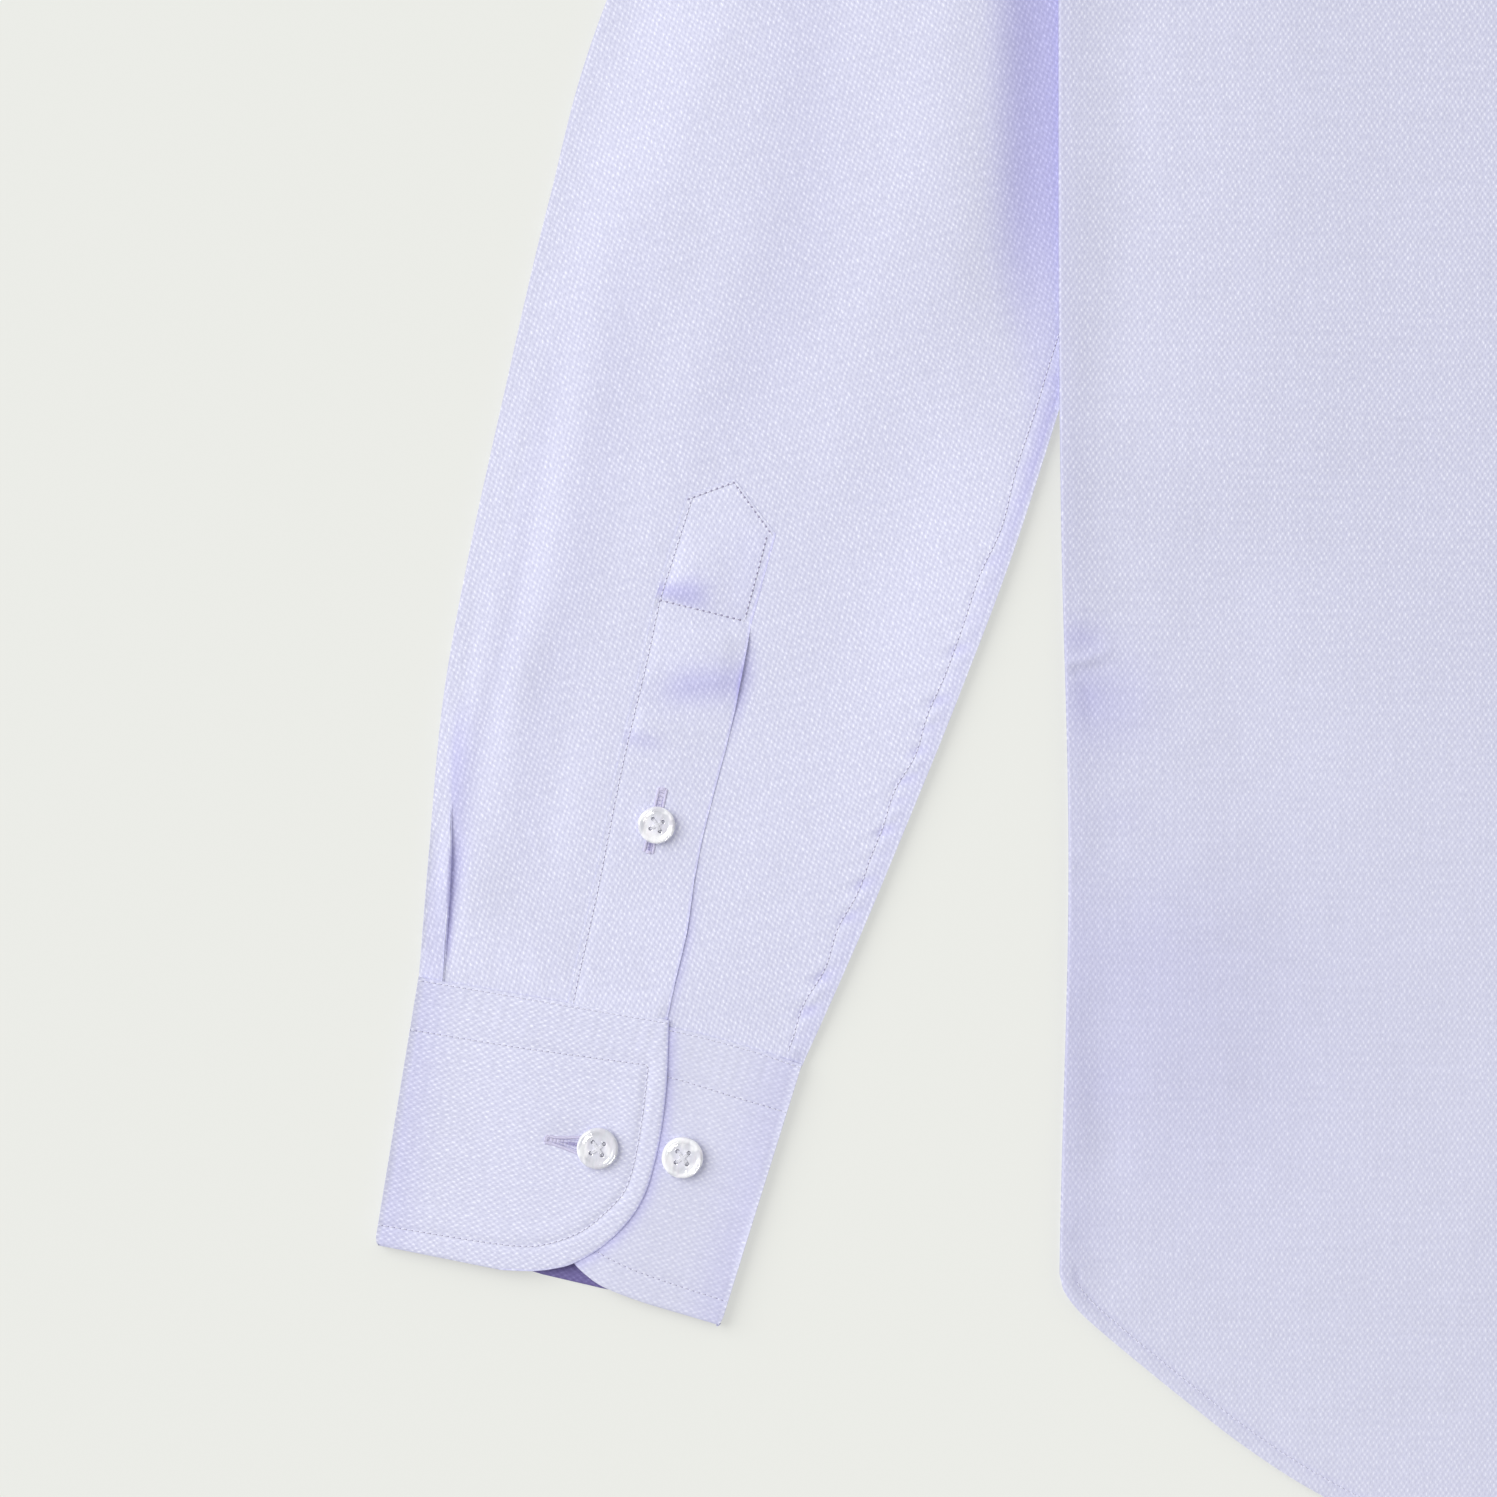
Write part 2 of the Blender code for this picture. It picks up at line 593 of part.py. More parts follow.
def sleeve_fold(share, inward, stations):
    """Points round a folded edge of the tube, from its upper to its lower layer."""
    edge_x, edge_y = sleeve_plan(stations, share, inner_seam_y)
    beside_x, beside_y = sleeve_plan(stations, share + 0.02 * inward, inner_seam_y)
    step = np.hypot(beside_x - edge_x, beside_y - edge_y)
    in_x = (beside_x - edge_x) / step
    in_y = (beside_y - edge_y) / step
    columns = []
    for angle in np.radians(FOLD_ANGLES):
        pair = []
        for radius in (FOLD_R, FOLD_R - PLY):
            inset = FOLD_R - radius * np.cos(angle)
            z = FOLD_R + radius * np.sin(angle) + np.zeros_like(edge_x)
            pair.append(np.stack([edge_x + inset * in_x, edge_y + inset * in_y, z], axis=-1))
        columns.append(tuple(pair))
    return columns


def sleeve(name, side):
    stations = np.array(SLEEVE_STATIONS)
    columns = [sleeve_column(share, stations) for share in SLEEVE_SHARES]
    columns += sleeve_fold(1.0, -1.0, stations)
    for share in reversed(UNDER_SHARES):
        x, y = sleeve_plan(stations, share, inner_seam_y)
        flat = np.zeros_like(x)
        columns.append((np.stack([x, y, flat], axis=-1), np.stack([x, y, flat + PLY], axis=-1)))
    columns += sleeve_fold(0.0, 1.0, stations)[::-1]
    outside = np.stack([pair[0] for pair in columns], axis=1)
    inside = np.stack([pair[1] for pair in columns], axis=1)
    present = np.ones((len(stations) - 1, len(columns)), dtype=bool)
    slit_rows = stations[:-1] >= SLIT_TOP - 1e-6
    present[slit_rows, SLEEVE_SHARES.index(SLIT_LEFT)] = False
    wall(name, mirrored(outside, side), mirrored(inside, side), ring=True, present=present)


def placket_edges(section):
    table = np.array(PLACKET_EDGES)
    return tuple(np.interp(section, table[:, 0], table[:, k]) for k in (1, 2, 3))


def sleeve_placket(name, side):
    """The strip over the slit, made from the sleeve's own points moved out, with its free edge lifted."""
    across = np.array([0.0, 0.22, PLACKET_TOP[1][0], 0.66, 0.85, 1.0])
    top = np.interp(across, column(PLACKET_TOP, 0), column(PLACKET_TOP, 1))
    climb = np.linspace(0.0, 1.0, 15)[:, None]
    section = SLEEVE_END + (top - SLEEVE_END) * climb
    left, right, lift = placket_edges(section)
    share = left + (right - left) * across
    x, y = sleeve_plan(section, share, overlap_seam_y)
    base = sleeve_rise(section, share) + STEP_UP + lift * across**2
    sheet(name, side * x, y, base)


def sleeve_underlap(name, side):
    """The narrow strip that binds the slit's other edge and lies in the slit, under the placket."""
    stations = np.array([station for station in SLEEVE_STATIONS if station >= SLIT_TOP])
    stations[0] += SLIT_END_GAP
    right = SLIT_RIGHT - SLIT_SIDE_GAP
    shares = np.array([UNDERLAP_LEFT, (UNDERLAP_LEFT + right) / 2, right])
    share, section = np.meshgrid(shares, stations)
    x, y = sleeve_plan(section, share, underlap_seam_y)
    sheet(name, side * x, y, sleeve_rise(section, share))


# ---------------------------------------------------------------- cuff


def corner_share(height_share, width):
    """How much of a cuff's layer is left beside its rounded corner, at a share of its height."""
    from_corner = np.clip((height_share - 1.0) * CUFF_HEIGHT / CUFF_CORNER + 1.0, 0.0, 1.0)
    return 1.0 - CUFF_CORNER / width * (1.0 - np.sqrt(1.0 - from_corner**2))


def between(top_a, top_b, low_a, low_b, across, down, bow=0.0):
    """A point of a four-cornered layer, with its top edge bowed."""
    top_a, top_b, low_a, low_b = (np.array(p) for p in (top_a, top_b, low_a, low_b))
    upper = top_a + (top_b - top_a) * across
    upper = upper + np.array([0.0, 4.0 * bow * across * (1.0 - across)])
    lower = low_a + (low_b - low_a) * across
    return upper + (lower - upper) * down


def cuff_row(down):
    """One level of the cuff's band: overlap, outer fold, layer on the surface, inner fold and underlap."""
    overlap_end = corner_share(down, CUFF_TOP_OUTER[0] - OVERLAP_TOP[0])
    underlap_end = corner_share(down, UNDERLAP_TOP[0] - CUFF_TOP_INNER[0])
    outer, inner = [], []

    def add(point, z_out, z_in):
        outer.append([point[0], point[1], z_out])
        inner.append([point[0], point[1], z_in])

    def add_fold(point, toward, angle):
        for points, radius in ((outer, CUFF_FOLD_R), (inner, CUFF_FOLD_R - CUFF_PLY)):
            inset = CUFF_FOLD_R - radius * np.cos(angle)
            points.append([point[0] + toward * inset, point[1], CUFF_FOLD_R + radius * np.sin(angle)])

    for share in reversed(CUFF_COLUMNS):
        across = share * overlap_end
        point = between(CUFF_TOP_OUTER, OVERLAP_TOP, CUFF_LOW_OUTER, OVERLAP_LOW, across, down)
        under = CUFF_PLY + GAP + (CUFF_PLY + GAP) * ease(across / OVERLAP_LEVEL)
        add(point, under + CUFF_PLY, under)
    for angle in np.radians(FOLD_ANGLES):
        point = between(CUFF_TOP_OUTER, OVERLAP_TOP, CUFF_LOW_OUTER, OVERLAP_LOW, 0.0, down)
        add_fold(point, -1.0, angle)
    for share in CUFF_UNDER_COLUMNS:
        point = between(CUFF_TOP_OUTER, CUFF_TOP_INNER, CUFF_LOW_OUTER, CUFF_LOW_INNER, share, down)
        add(point, 0.0, CUFF_PLY)
    for angle in np.radians(FOLD_ANGLES[::-1]):
        point = between(CUFF_TOP_OUTER, CUFF_TOP_INNER, CUFF_LOW_OUTER, CUFF_LOW_INNER, 1.0, down)
        add_fold(point, 1.0, angle)
    for share in CUFF_COLUMNS:
        across = 1.0 - share * underlap_end
        corners = (UNDERLAP_TOP, CUFF_TOP_INNER, UNDERLAP_LOW, CUFF_LOW_INNER)
        point = between(*corners, across, down, UNDERLAP_BOW)
        add(point, 2 * CUFF_PLY + GAP, CUFF_PLY + GAP)
    return np.array(outer), np.array(inner)


def cuff(name, side):
    levels = [cuff_row(down) for down in CUFF_ROWS]
    outside = np.array([level[0] for level in levels])
    inside = np.array([level[1] for level in levels])
    wall(name, mirrored(outside, side), mirrored(inside, side))


# ---------------------------------------------------------------- buttons


def circle(bm, radius, z, sides, turn=0.0, centre=(0.0, 0.0)):
    angles = turn + 2.0 * np.pi * np.arange(sides) / sides
    x = centre[0] + radius * np.cos(angles)
    y = centre[1] + radius * np.sin(angles)
    return [bm.verts.new((x[k] * MM, y[k] * MM, z * MM)) for k in range(sides)]


def bridge(bm, first, second):
    count = len(first)
    for k in range(count):
        bm.faces.new((first[k], first[(k + 1) % count], second[(k + 1) % count], second[k]))


def edge_loop(bm, ring):
    return [bm.edges.get((a, b)) or bm.edges.new((a, b)) for a, b in zip(ring, ring[1:] + ring[:1])]


def button(name, x, y, base, radius, face_up=True):
    """A four-hole button: a raised rim round a dished middle, with its holes cut through."""
    bm = bmesh.new()
    rings = []
    for share, high in BUTTON_PROFILE:
        rings.append(circle(bm, radius * share, BUTTON_HEIGHT * high, BUTTON_SIDES))
    for first, second in zip(rings, rings[1:]):
        bridge(bm, first, second)
    tops, lows = [], []
    for k in range(4):
        angle = BUTTON_TURN + np.pi / 4 + k * np.pi / 2
        centre = (HOLE_CIRCLE * np.cos(angle), HOLE_CIRCLE * np.sin(angle))
        upper = circle(bm, HOLE_R, BUTTON_HEIGHT * BUTTON_PROFILE[0][1], HOLE_SIDES, centre=centre)
        lower = circle(bm, HOLE_R, 0.0, HOLE_SIDES, centre=centre)
        bridge(bm, upper, lower)
        tops.append(upper)
        lows.append(lower)
    for rim, holes in ((rings[0], tops), (rings[-1], lows)):
        edges = edge_loop(bm, rim)
        for hole in holes:
            edges += edge_loop(bm, hole)
        bmesh.ops.triangle_fill(bm, edges=edges, use_beauty=True)
    obj = add_object(name, bm, BUTTON_COLOUR, 0.2)
    obj.location = to_metres((x, y, base))
    if not face_up:
        obj.rotation_euler = (np.pi, 0.0, 0.0)
        obj.location.z += BUTTON_HEIGHT * MM
    return obj


def sleeve_buttons(label, side):
    over_z = 3 * CUFF_PLY + 3 * GAP
    under_z = 2 * CUFF_PLY + 2 * GAP
    for number, (x, y), z in ((1, CUFF_BUTTON_OVER, over_z), (2, CUFF_BUTTON_UNDER, under_z)):
        button(f"cuff_button_{label}_{number}", side * x, y, z, CUFF_BUTTON_R)
    x, y = sleeve_plan(PLACKET_BUTTON[0], PLACKET_BUTTON[1], overlap_seam_y)
    base = sleeve_rise(*PLACKET_BUTTON) + 2 * STEP_UP
    button(f"placket_button_{label}", side * float(x), float(y), float(base), PLACKET_BUTTON_R)


def front_buttons():
    for number, y in enumerate(FRONT_BUTTON_Y, start=1):
        base = float(left_front_base(0.0, y)) - GAP - BUTTON_HEIGHT
        button(f"front_button_{number}", 0.0, y, base, CUFF_BUTTON_R, face_up=False)
    base = float(left_front_base(0.0, COLLAR_BUTTON_Y)) - GAP - BUTTON_HEIGHT
    button("collar_button", 0.0, COLLAR_BUTTON_Y, base, CUFF_BUTTON_R, face_up=False)


def main():
    for obj in list(bpy.data.objects):
        bpy.data.objects.remove(obj, do_unlink=True)
    back()
    yoke()
    front("front_left", -1.0, BAND_HALF + GAP, left_front_base)
    front("front_right", 1.0, RIGHT_EDGE_X, right_front_base)
    front_placket()
    collar_stand()
    collar_leaf()
    for label, side in (("left", -1.0), ("right", 1.0)):
        sleeve(f"sleeve_{label}", side)
        sleeve_placket(f"sleeve_placket_{label}", side)
        sleeve_underlap(f"sleeve_underlap_{label}", side)
        cuff(f"cuff_{label}", side)
        sleeve_buttons(label, side)
    front_buttons()


main()
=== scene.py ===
import bmesh
import bpy
import numpy as np
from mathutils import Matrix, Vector
from mathutils.bvhtree import BVHTree


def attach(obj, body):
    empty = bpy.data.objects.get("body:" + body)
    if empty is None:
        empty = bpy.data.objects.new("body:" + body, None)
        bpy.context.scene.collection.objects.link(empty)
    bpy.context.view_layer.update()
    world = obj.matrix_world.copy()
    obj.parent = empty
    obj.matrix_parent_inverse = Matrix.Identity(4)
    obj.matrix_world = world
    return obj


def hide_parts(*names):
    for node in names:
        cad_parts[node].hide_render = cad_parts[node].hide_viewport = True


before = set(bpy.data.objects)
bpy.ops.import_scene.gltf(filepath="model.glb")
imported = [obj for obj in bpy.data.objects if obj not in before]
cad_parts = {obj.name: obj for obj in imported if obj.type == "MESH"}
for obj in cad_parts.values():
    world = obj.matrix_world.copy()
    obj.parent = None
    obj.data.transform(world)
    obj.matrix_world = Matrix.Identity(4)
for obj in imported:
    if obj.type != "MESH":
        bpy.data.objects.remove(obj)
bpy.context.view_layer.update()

# Lengths are in millimetres until to_row. X = 0 is the centre line, Y = 0 the bottom of the side seams.
MM = 0.001

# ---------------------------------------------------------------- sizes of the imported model
PLY, GAP = 1.0, 0.3
STEP_UP = PLY + GAP
CUFF_PLY = 1.5
FOLD_R = (2 * PLY + GAP) / 2.0
CUFF_FOLD_R = (2 * CUFF_PLY + GAP) / 2.0
HALF_CHEST, WAIST_NIP, WAIST_Y, WAIST_SPREAD = 260.0, 3.0, 115.0, 85.0
ARMPIT_Y, SHOULDER_X, SHOULDER_Y = 430.0, 232.0, 636.0
NECK_X, NECK_Y, NECK_BACK_DIP, NECK_FRONT_DIP, NECK_FRONT_POWER = 78.0, 675.0, 17.0, 80.0, 3.0
YOKE_SEAM_Y, YOKE_WRAP = 563.0, 30.0
HEM_DROP = 95.0
HEM_POINTS = (  # distance from the centre line, y
    (260.0, 0.0), (258.9, -4.6), (254.9, -10.0), (248.9, -15.6), (237.4, -25.2), (225.0, -35.2), (209.0, -47.6),
    (190.0, -60.0), (165.0, -72.6), (135.0, -83.2), (100.0, -90.6), (60.0, -94.2), (20.0, -HEM_DROP),
    (0.0, -HEM_DROP),
)
BACK_FULLNESS, FULL_FROM_Y, FULL_TO_Y, FULL_FADE = 2.0, -60.0, YOKE_SEAM_Y + 60.0, 160.0
TUCK_X, TUCK_SLOPE_X = 200.0, 34.0
SOFT_TUCK_X, SOFT_TUCK_SLOPE_X = 140.0, 96.0  # how gently the back rises there
TUCK_LOW_Y, TUCK_SLOPE_LOW, TUCK_HIGH_Y, TUCK_SLOPE_HIGH = 188.0, 48.0, 494.0, 56.0
COLLAR_RISE_X, COLLAR_SLOPE_X, COLLAR_RISE_Y, COLLAR_SLOPE_Y = 150.0, 56.0, 512.0, 28.0
ARMHOLE = np.array(  # y, half width
    [(430, 260), (433, 253), (440, 245), (459, 232.5), (480, 224.5), (510, 219.5), (548, 218.5), (590, 222),
     (636, 232)]
)
BAND_HALF, BUTTON_HEIGHT = 17.5, 2.5
BAND_LIFT = BUTTON_HEIGHT + GAP
RIGHT_EDGE_X, BAND_SLOPE, RIGHT_SLOPE_FROM, BACK_SLOPE_FROM = -15.0, 44.0, 20.0, 22.0
FRONT_BUTTON_Y = (535.0, 445.0, 355.0, 265.0, 175.0, 85.0)
STAND_HEIGHT, NECK_SEAM, STAND_TAPER = 33.0, 1.2, 3.0
LEAF_BACK, LEAF_FLARE, LEAF_GAP_HALF, LEAF_POINT_X, LEAF_POINT_DROP = 44.0, 14.0, 4.0, 62.0, 80.0
COLLAR_BUTTON_Y = 611.0
SLEEVE_SECTIONS = np.array(  # outer x, outer y, inner x, inner y, fullness
    [
        (232.0, 636.0, 260.0, 430.0, 0.0),
        (262.0, 590.0, 252.0, 410.0, 1.0),
        (300.0, 530.0, 244.0, 384.0, 2.0),
        (345.0, 452.0, 238.0, 348.0, 2.9),
        (387.0, 356.0, 240.0, 308.0, 3.3),
        (403.0, 300.0, 255.5, 256.0, 3.4),
        (416.0, 244.0, 272.0, 204.0, 3.3),
        (426.0, 198.0, 288.0, 161.5, 3.1),
        (432.6, 160.0, 302.0, 127.0, 2.7),
        (436.3, 120.0, 316.7, 92.0, 2.0),
        (439.3, 83.4, 331.8, 58.8, 1.0),
    ]
)
SLEEVE_END = 10.0
ARMHOLE_FADE, CUFF_FADE = 2.2, 1.0
SLIT_TOP, SLIT_LEFT, SLIT_RIGHT = 6.9, 0.43, 0.565
PLACKET_EDGES = np.array(  # section, left share, right share, lift of the free edge
    [
        (6.0, 0.385, 0.560, 0.0),
        (6.9, 0.375, 0.569, 0.0),
        (7.05, 0.378, 0.575, 0.6),
        (7.25, 0.381, 0.581, 1.2),
        (7.5, 0.383, 0.588, 0.7),
        (7.8, 0.384, 0.593, 0.08),
        (8.5, 0.385, 0.597, 0.0),
        (8.8, 0.386, 0.604, 0.35),
        (9.2, 0.387, 0.622, 0.7),
        (9.6, 0.388, 0.634, 0.6),
        (10.0, 0.390, 0.648, 0.3),
    ]
)
PLACKET_TOP = np.array([(0.0, 6.22), (0.43, 6.06), (1.0, 6.30)])  # across the strip, section
PLACKET_BUTTON = (8.47, 0.494)
UNDERLAP_LEFT = 0.445
CUFF_TOP_OUTER, CUFF_TOP_INNER = (439.3, 83.4), (331.8, 58.8)
CUFF_LOW_OUTER, CUFF_LOW_INNER = (451.4, 9.5), (354.2, -13.2)
OVERLAP_TOP, OVERLAP_LOW = (369.0, 71.4), (380.5, -4.5)
UNDERLAP_TOP, UNDERLAP_LOW, UNDERLAP_BOW = (399.6, 73.6), (403.8, 1.4), 2.5
CUFF_HEIGHT, OVERLAP_LEVEL = 75.0, 0.60
CUFF_BUTTON_OVER, CUFF_BUTTON_UNDER = (389.0, 35.6), (365.3, 33.0)
CUFF_BUTTON_R, PLACKET_BUTTON_R = 5.7, 5.1
HOLE_CIRCLE, HOLE_R = 2.15, 0.54
COLLAR_TOP_Y = NECK_Y + STAND_HEIGHT
ORIGIN_Y = (COLLAR_TOP_Y - HEM_DROP) / 2.0

# ---------------------------------------------------------------- cloth, seams and stitches
CLOTH = 0.5  # wall of one ply as it shows
PITCH = 1.7  # length of one stitch
THREAD_SIZE, PIT_SHADE_SIZE = (0.36 * PITCH, 0.20, 0.12), (0.33, 0.25, 0.05)  # half length, width and height
WAVES = 6  # how many waves make the cloth's soft unevenness
SLEEVE_GRAIN = np.radians(16.5)
PLACKET_GRAIN = np.radians(9.5)
OVER_GRAIN, UNDER_GRAIN = np.radians(10.9), np.radians(15.5)

# Soft folds of the sleeve: centre line as (section, share) points, depth, width before and behind it as shares.
SLEEVE_FOLDS = (
    (((5.1, 0.205), (5.4, 0.211), (5.9, 0.223), (6.5, 0.238), (7.0, 0.237), (7.7, 0.227), (8.3, 0.225), (9.0, 0.248)),
     0.72, 0.055, 0.085),
    (((5.6, 0.088), (6.3, 0.102), (7.2, 0.115), (8.0, 0.105), (8.6, 0.088)), 0.55, 0.026, 0.036),
    (((2.8, 0.35), (3.7, 0.375), (4.0, 0.423), (4.4, 0.475), (4.8, 0.500), (5.4, 0.490), (5.9, 0.445)),
     0.70, 0.085, 0.135),
    (((5.9, 0.060), (6.4, 0.062), (6.9, 0.063)), 0.32, 0.014, 0.020),
    (((7.1, 0.028), (7.6, 0.036), (8.1, 0.042)), 0.30, 0.012, 0.018),
    (((7.7, 0.262), (8.3, 0.262), (8.8, 0.272), (9.2, 0.285)), 0.22, 0.022, 0.035),
    (((5.7, 0.584), (6.1, 0.600), (6.4, 0.614)), 0.26, 0.030, 0.045),
)
# The right sleeve has folds of its own.
RIGHT_FOLDS = (
    (((3.6, 0.230), (4.8, 0.245), (6.0, 0.235), (7.2, 0.220), (8.4, 0.245), (9.2, 0.300)), 1.10, 0.050, 0.085),
    (((4.4, 0.120), (5.6, 0.110), (6.8, 0.115), (8.1, 0.105)), 0.75, 0.030, 0.050),
    (((2.4, 0.42), (3.4, 0.46), (4.4, 0.50), (5.6, 0.55)), 1.00, 0.060, 0.100),
    (((5.0, 0.70), (6.2, 0.73), (7.4, 0.72)), 0.60, 0.055, 0.080),
    (((8.1, 0.70), (9.0, 0.73), (9.8, 0.78)), 0.45, 0.040, 0.060),
)


def ease(share):
    """0 below 0, 1 above 1 and smooth between them."""
    t = np.clip(share, 0.0, 1.0)
    return t * t * (3.0 - 2.0 * t)


def bell(away, reach):
    """1 at a place and soft round it, with 0.37 left at the reach."""
    return np.exp(-((away / reach) ** 2))


def smooth_rows(table, at):
    """A table's rows read at whole and part row numbers, on a smooth curve through them."""
    rows = np.asarray(table, dtype=float)
    before = 2 * rows[0] - rows[1]
    after = 2 * rows[-1] - rows[-2]
    padded = np.vstack([before, rows, after])
    at = np.clip(np.asarray(at, dtype=float), 0.0, len(rows) - 1.0)
    first = np.minimum(at.astype(int), len(rows) - 2)
    t = (at - first)[..., None]
    a, b, c, d = (padded[first + k] for k in range(4))
    return 0.5 * (2 * b + (c - a) * t + (2 * a - 5 * b + 4 * c - d) * t**2 + (3 * b - a - 3 * c + d) * t**3)


def waves(x, y, length, seed):
    """Soft unevenness, the same each run: a few crossing waves of about the given length, about 1 high."""
    rng = np.random.default_rng(seed)
    total = 0.0
    for _ in range(WAVES):
        angle, phase = rng.uniform(0.0, 2 * np.pi, 2)
        own = length * rng.uniform(0.6, 1.7)
        total = total + np.sin((x * np.cos(angle) + y * np.sin(angle)) * 2 * np.pi / own + phase)
    return total / np.sqrt(WAVES)


def spaced(*parts):
    """Numbers from (start, end, step) parts, one after the other."""
    out = []
    for start, end, step in parts:
        count = max(1, int(round(abs(end - start) / step)))
        out.extend(np.linspace(start, end, count, endpoint=False))
    out.append(parts[-1][1])
    return np.array(out)


def measured(line):
    """A line's points as an array, the lengths of its steps, and how far along it each point lies."""
    line = np.asarray(line, dtype=float)
    lengths = np.hypot(*(line[1:] - line[:-1]).T)
    return line, lengths, np.concatenate([[0.0], np.cumsum(lengths)])


def near_line(x, y, line):
    """Distance of each point from a line of points, and how far along the line its foot lies, as a share."""
    line, lengths, starts = measured(line)
    best = np.full(np.shape(x), np.inf)
    along = np.zeros(np.shape(x))
    for k, (a, b) in enumerate(zip(line[:-1], line[1:])):
        step = b - a
        t = np.clip(((x - a[0]) * step[0] + (y - a[1]) * step[1]) / (step @ step), 0.0, 1.0)
        d = np.hypot(x - a[0] - t * step[0], y - a[1] - t * step[1])
        closer = d < best
        best = np.where(closer, d, best)
        along = np.where(closer, (starts[k] + t * lengths[k]) / starts[-1], along)
    return best, along


def dent(x, y, line, half, depth):
    """A soft groove along a line, or a ridge where the depth is negative; its ends fade."""
    d, along = near_line(x, y, line)
    return -depth * bell(d, half) * ease(np.minimum(along, 1.0 - along) * 8.0 + 0.35)


def from_line(x, y, line):
    """Distance of each point from a line of points."""
    return near_line(x, y, line)[0]


def rounded(distance, radius):
    """0 away from an edge and 1 at it, as a quarter circle."""
    t = np.clip(1.0 - distance / radius, 0.0, 1.0)
    return 1.0 - np.sqrt(np.maximum(1.0 - t * t, 0.0))


def photo_point(px, py, side=-1.0):
    """A place measured in the photo, in mm on the shirt: on its left half, or mirrored where side is 1."""
    return side * (PHOTO_CENTRE_X - px) * PHOTO_MM, (PHOTO_FOOT_Y - py) * PHOTO_MM


PHOTO_MM = 0.28  # one pixel of the photo
PHOTO_CENTRE_X, PHOTO_FOOT_Y = 1987.0, 1275.0  # where the centre line and the side seam's foot lie in the photo
PLACKET_HOLE = [photo_point(663.0, 789.0, 1.0), photo_point(648.5, 852.0, 1.0)]
CUFF_HOLE = [photo_point(546.0, 1139.0, 1.0), photo_point(604.0, 1149.5, 1.0)]

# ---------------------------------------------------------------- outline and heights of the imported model


def half_width(y):
    side = HALF_CHEST - WAIST_NIP * bell(y - WAIST_Y, WAIST_SPREAD)
    return np.where(y < ARMPIT_Y, side, np.interp(y, ARMHOLE[:, 0], ARMHOLE[:, 1]))


def hem_y(x):
    curve = smooth_rows(HEM_POINTS, np.linspace(len(HEM_POINTS) - 1.0, 0.0, 520))
    return np.interp(np.abs(x), curve[:, 0], curve[:, 1])


def shoulder_y(x):
    return NECK_Y - (np.abs(x) - NECK_X) * (NECK_Y - SHOULDER_Y) / (SHOULDER_X - NECK_X)


def neck_back_y(x):
    return NECK_Y - NECK_BACK_DIP * (1.0 - (x / NECK_X) ** 2)


def neck_front_y(x):
    return NECK_Y - NECK_FRONT_DIP * (1.0 - np.abs(x / NECK_X) ** NECK_FRONT_POWER)


def neck_front_x(y):
    rise = np.clip((y - NECK_Y + NECK_FRONT_DIP) / NECK_FRONT_DIP, 0.0, 1.0)
    return NECK_X * rise ** (1.0 / NECK_FRONT_POWER)


def sleeve_lift(x, y, start=TUCK_X, slope=TUCK_SLOPE_X):
    across = ease((np.abs(x) - start) / slope)
    along = ease((y - TUCK_LOW_Y) / TUCK_SLOPE_LOW) * ease((TUCK_HIGH_Y - y) / TUCK_SLOPE_HIGH)
    return 2 * STEP_UP * across * along


def collar_lift(x, y):
    across = ease((COLLAR_RISE_X - np.abs(x)) / COLLAR_SLOPE_X)
    return STEP_UP * across * ease((y - COLLAR_RISE_Y) / COLLAR_SLOPE_Y)


def front_base(x, y, share, lift):
    return share * lift + (1.0 - share) * collar_lift(x, y) + sleeve_lift(x, y)


def left_front_base(x, y):
    return front_base(x, y, ease((BAND_HALF + BAND_SLOPE - np.abs(x)) / BAND_SLOPE), BAND_LIFT)


def right_front_base(x, y):
    return front_base(x, y, ease((RIGHT_SLOPE_FROM + BAND_SLOPE - x) / BAND_SLOPE), BAND_LIFT + STEP_UP)


def back_base(x, y):
    share = ease((BACK_SLOPE_FROM + BAND_SLOPE - np.abs(x)) / BAND_SLOPE)
    dome = BACK_FULLNESS * (1.0 - (np.abs(x) / HALF_CHEST) ** 3)
    dome = dome * ease((y - FULL_FROM_Y) / FULL_FADE) * ease((FULL_TO_Y - y) / FULL_FADE)
    return STEP_UP + front_base(x, y, share, BAND_LIFT + STEP_UP) + dome


# ---------------------------------------------------------------- materials


def srgb(r, g, b):
    def linear(c):
        c = c / 255.0
        return c / 12.92 if c <= 0.04045 else ((c + 0.055) / 1.055) ** 2.4

    return (linear(r), linear(g), linear(b), 1.0)


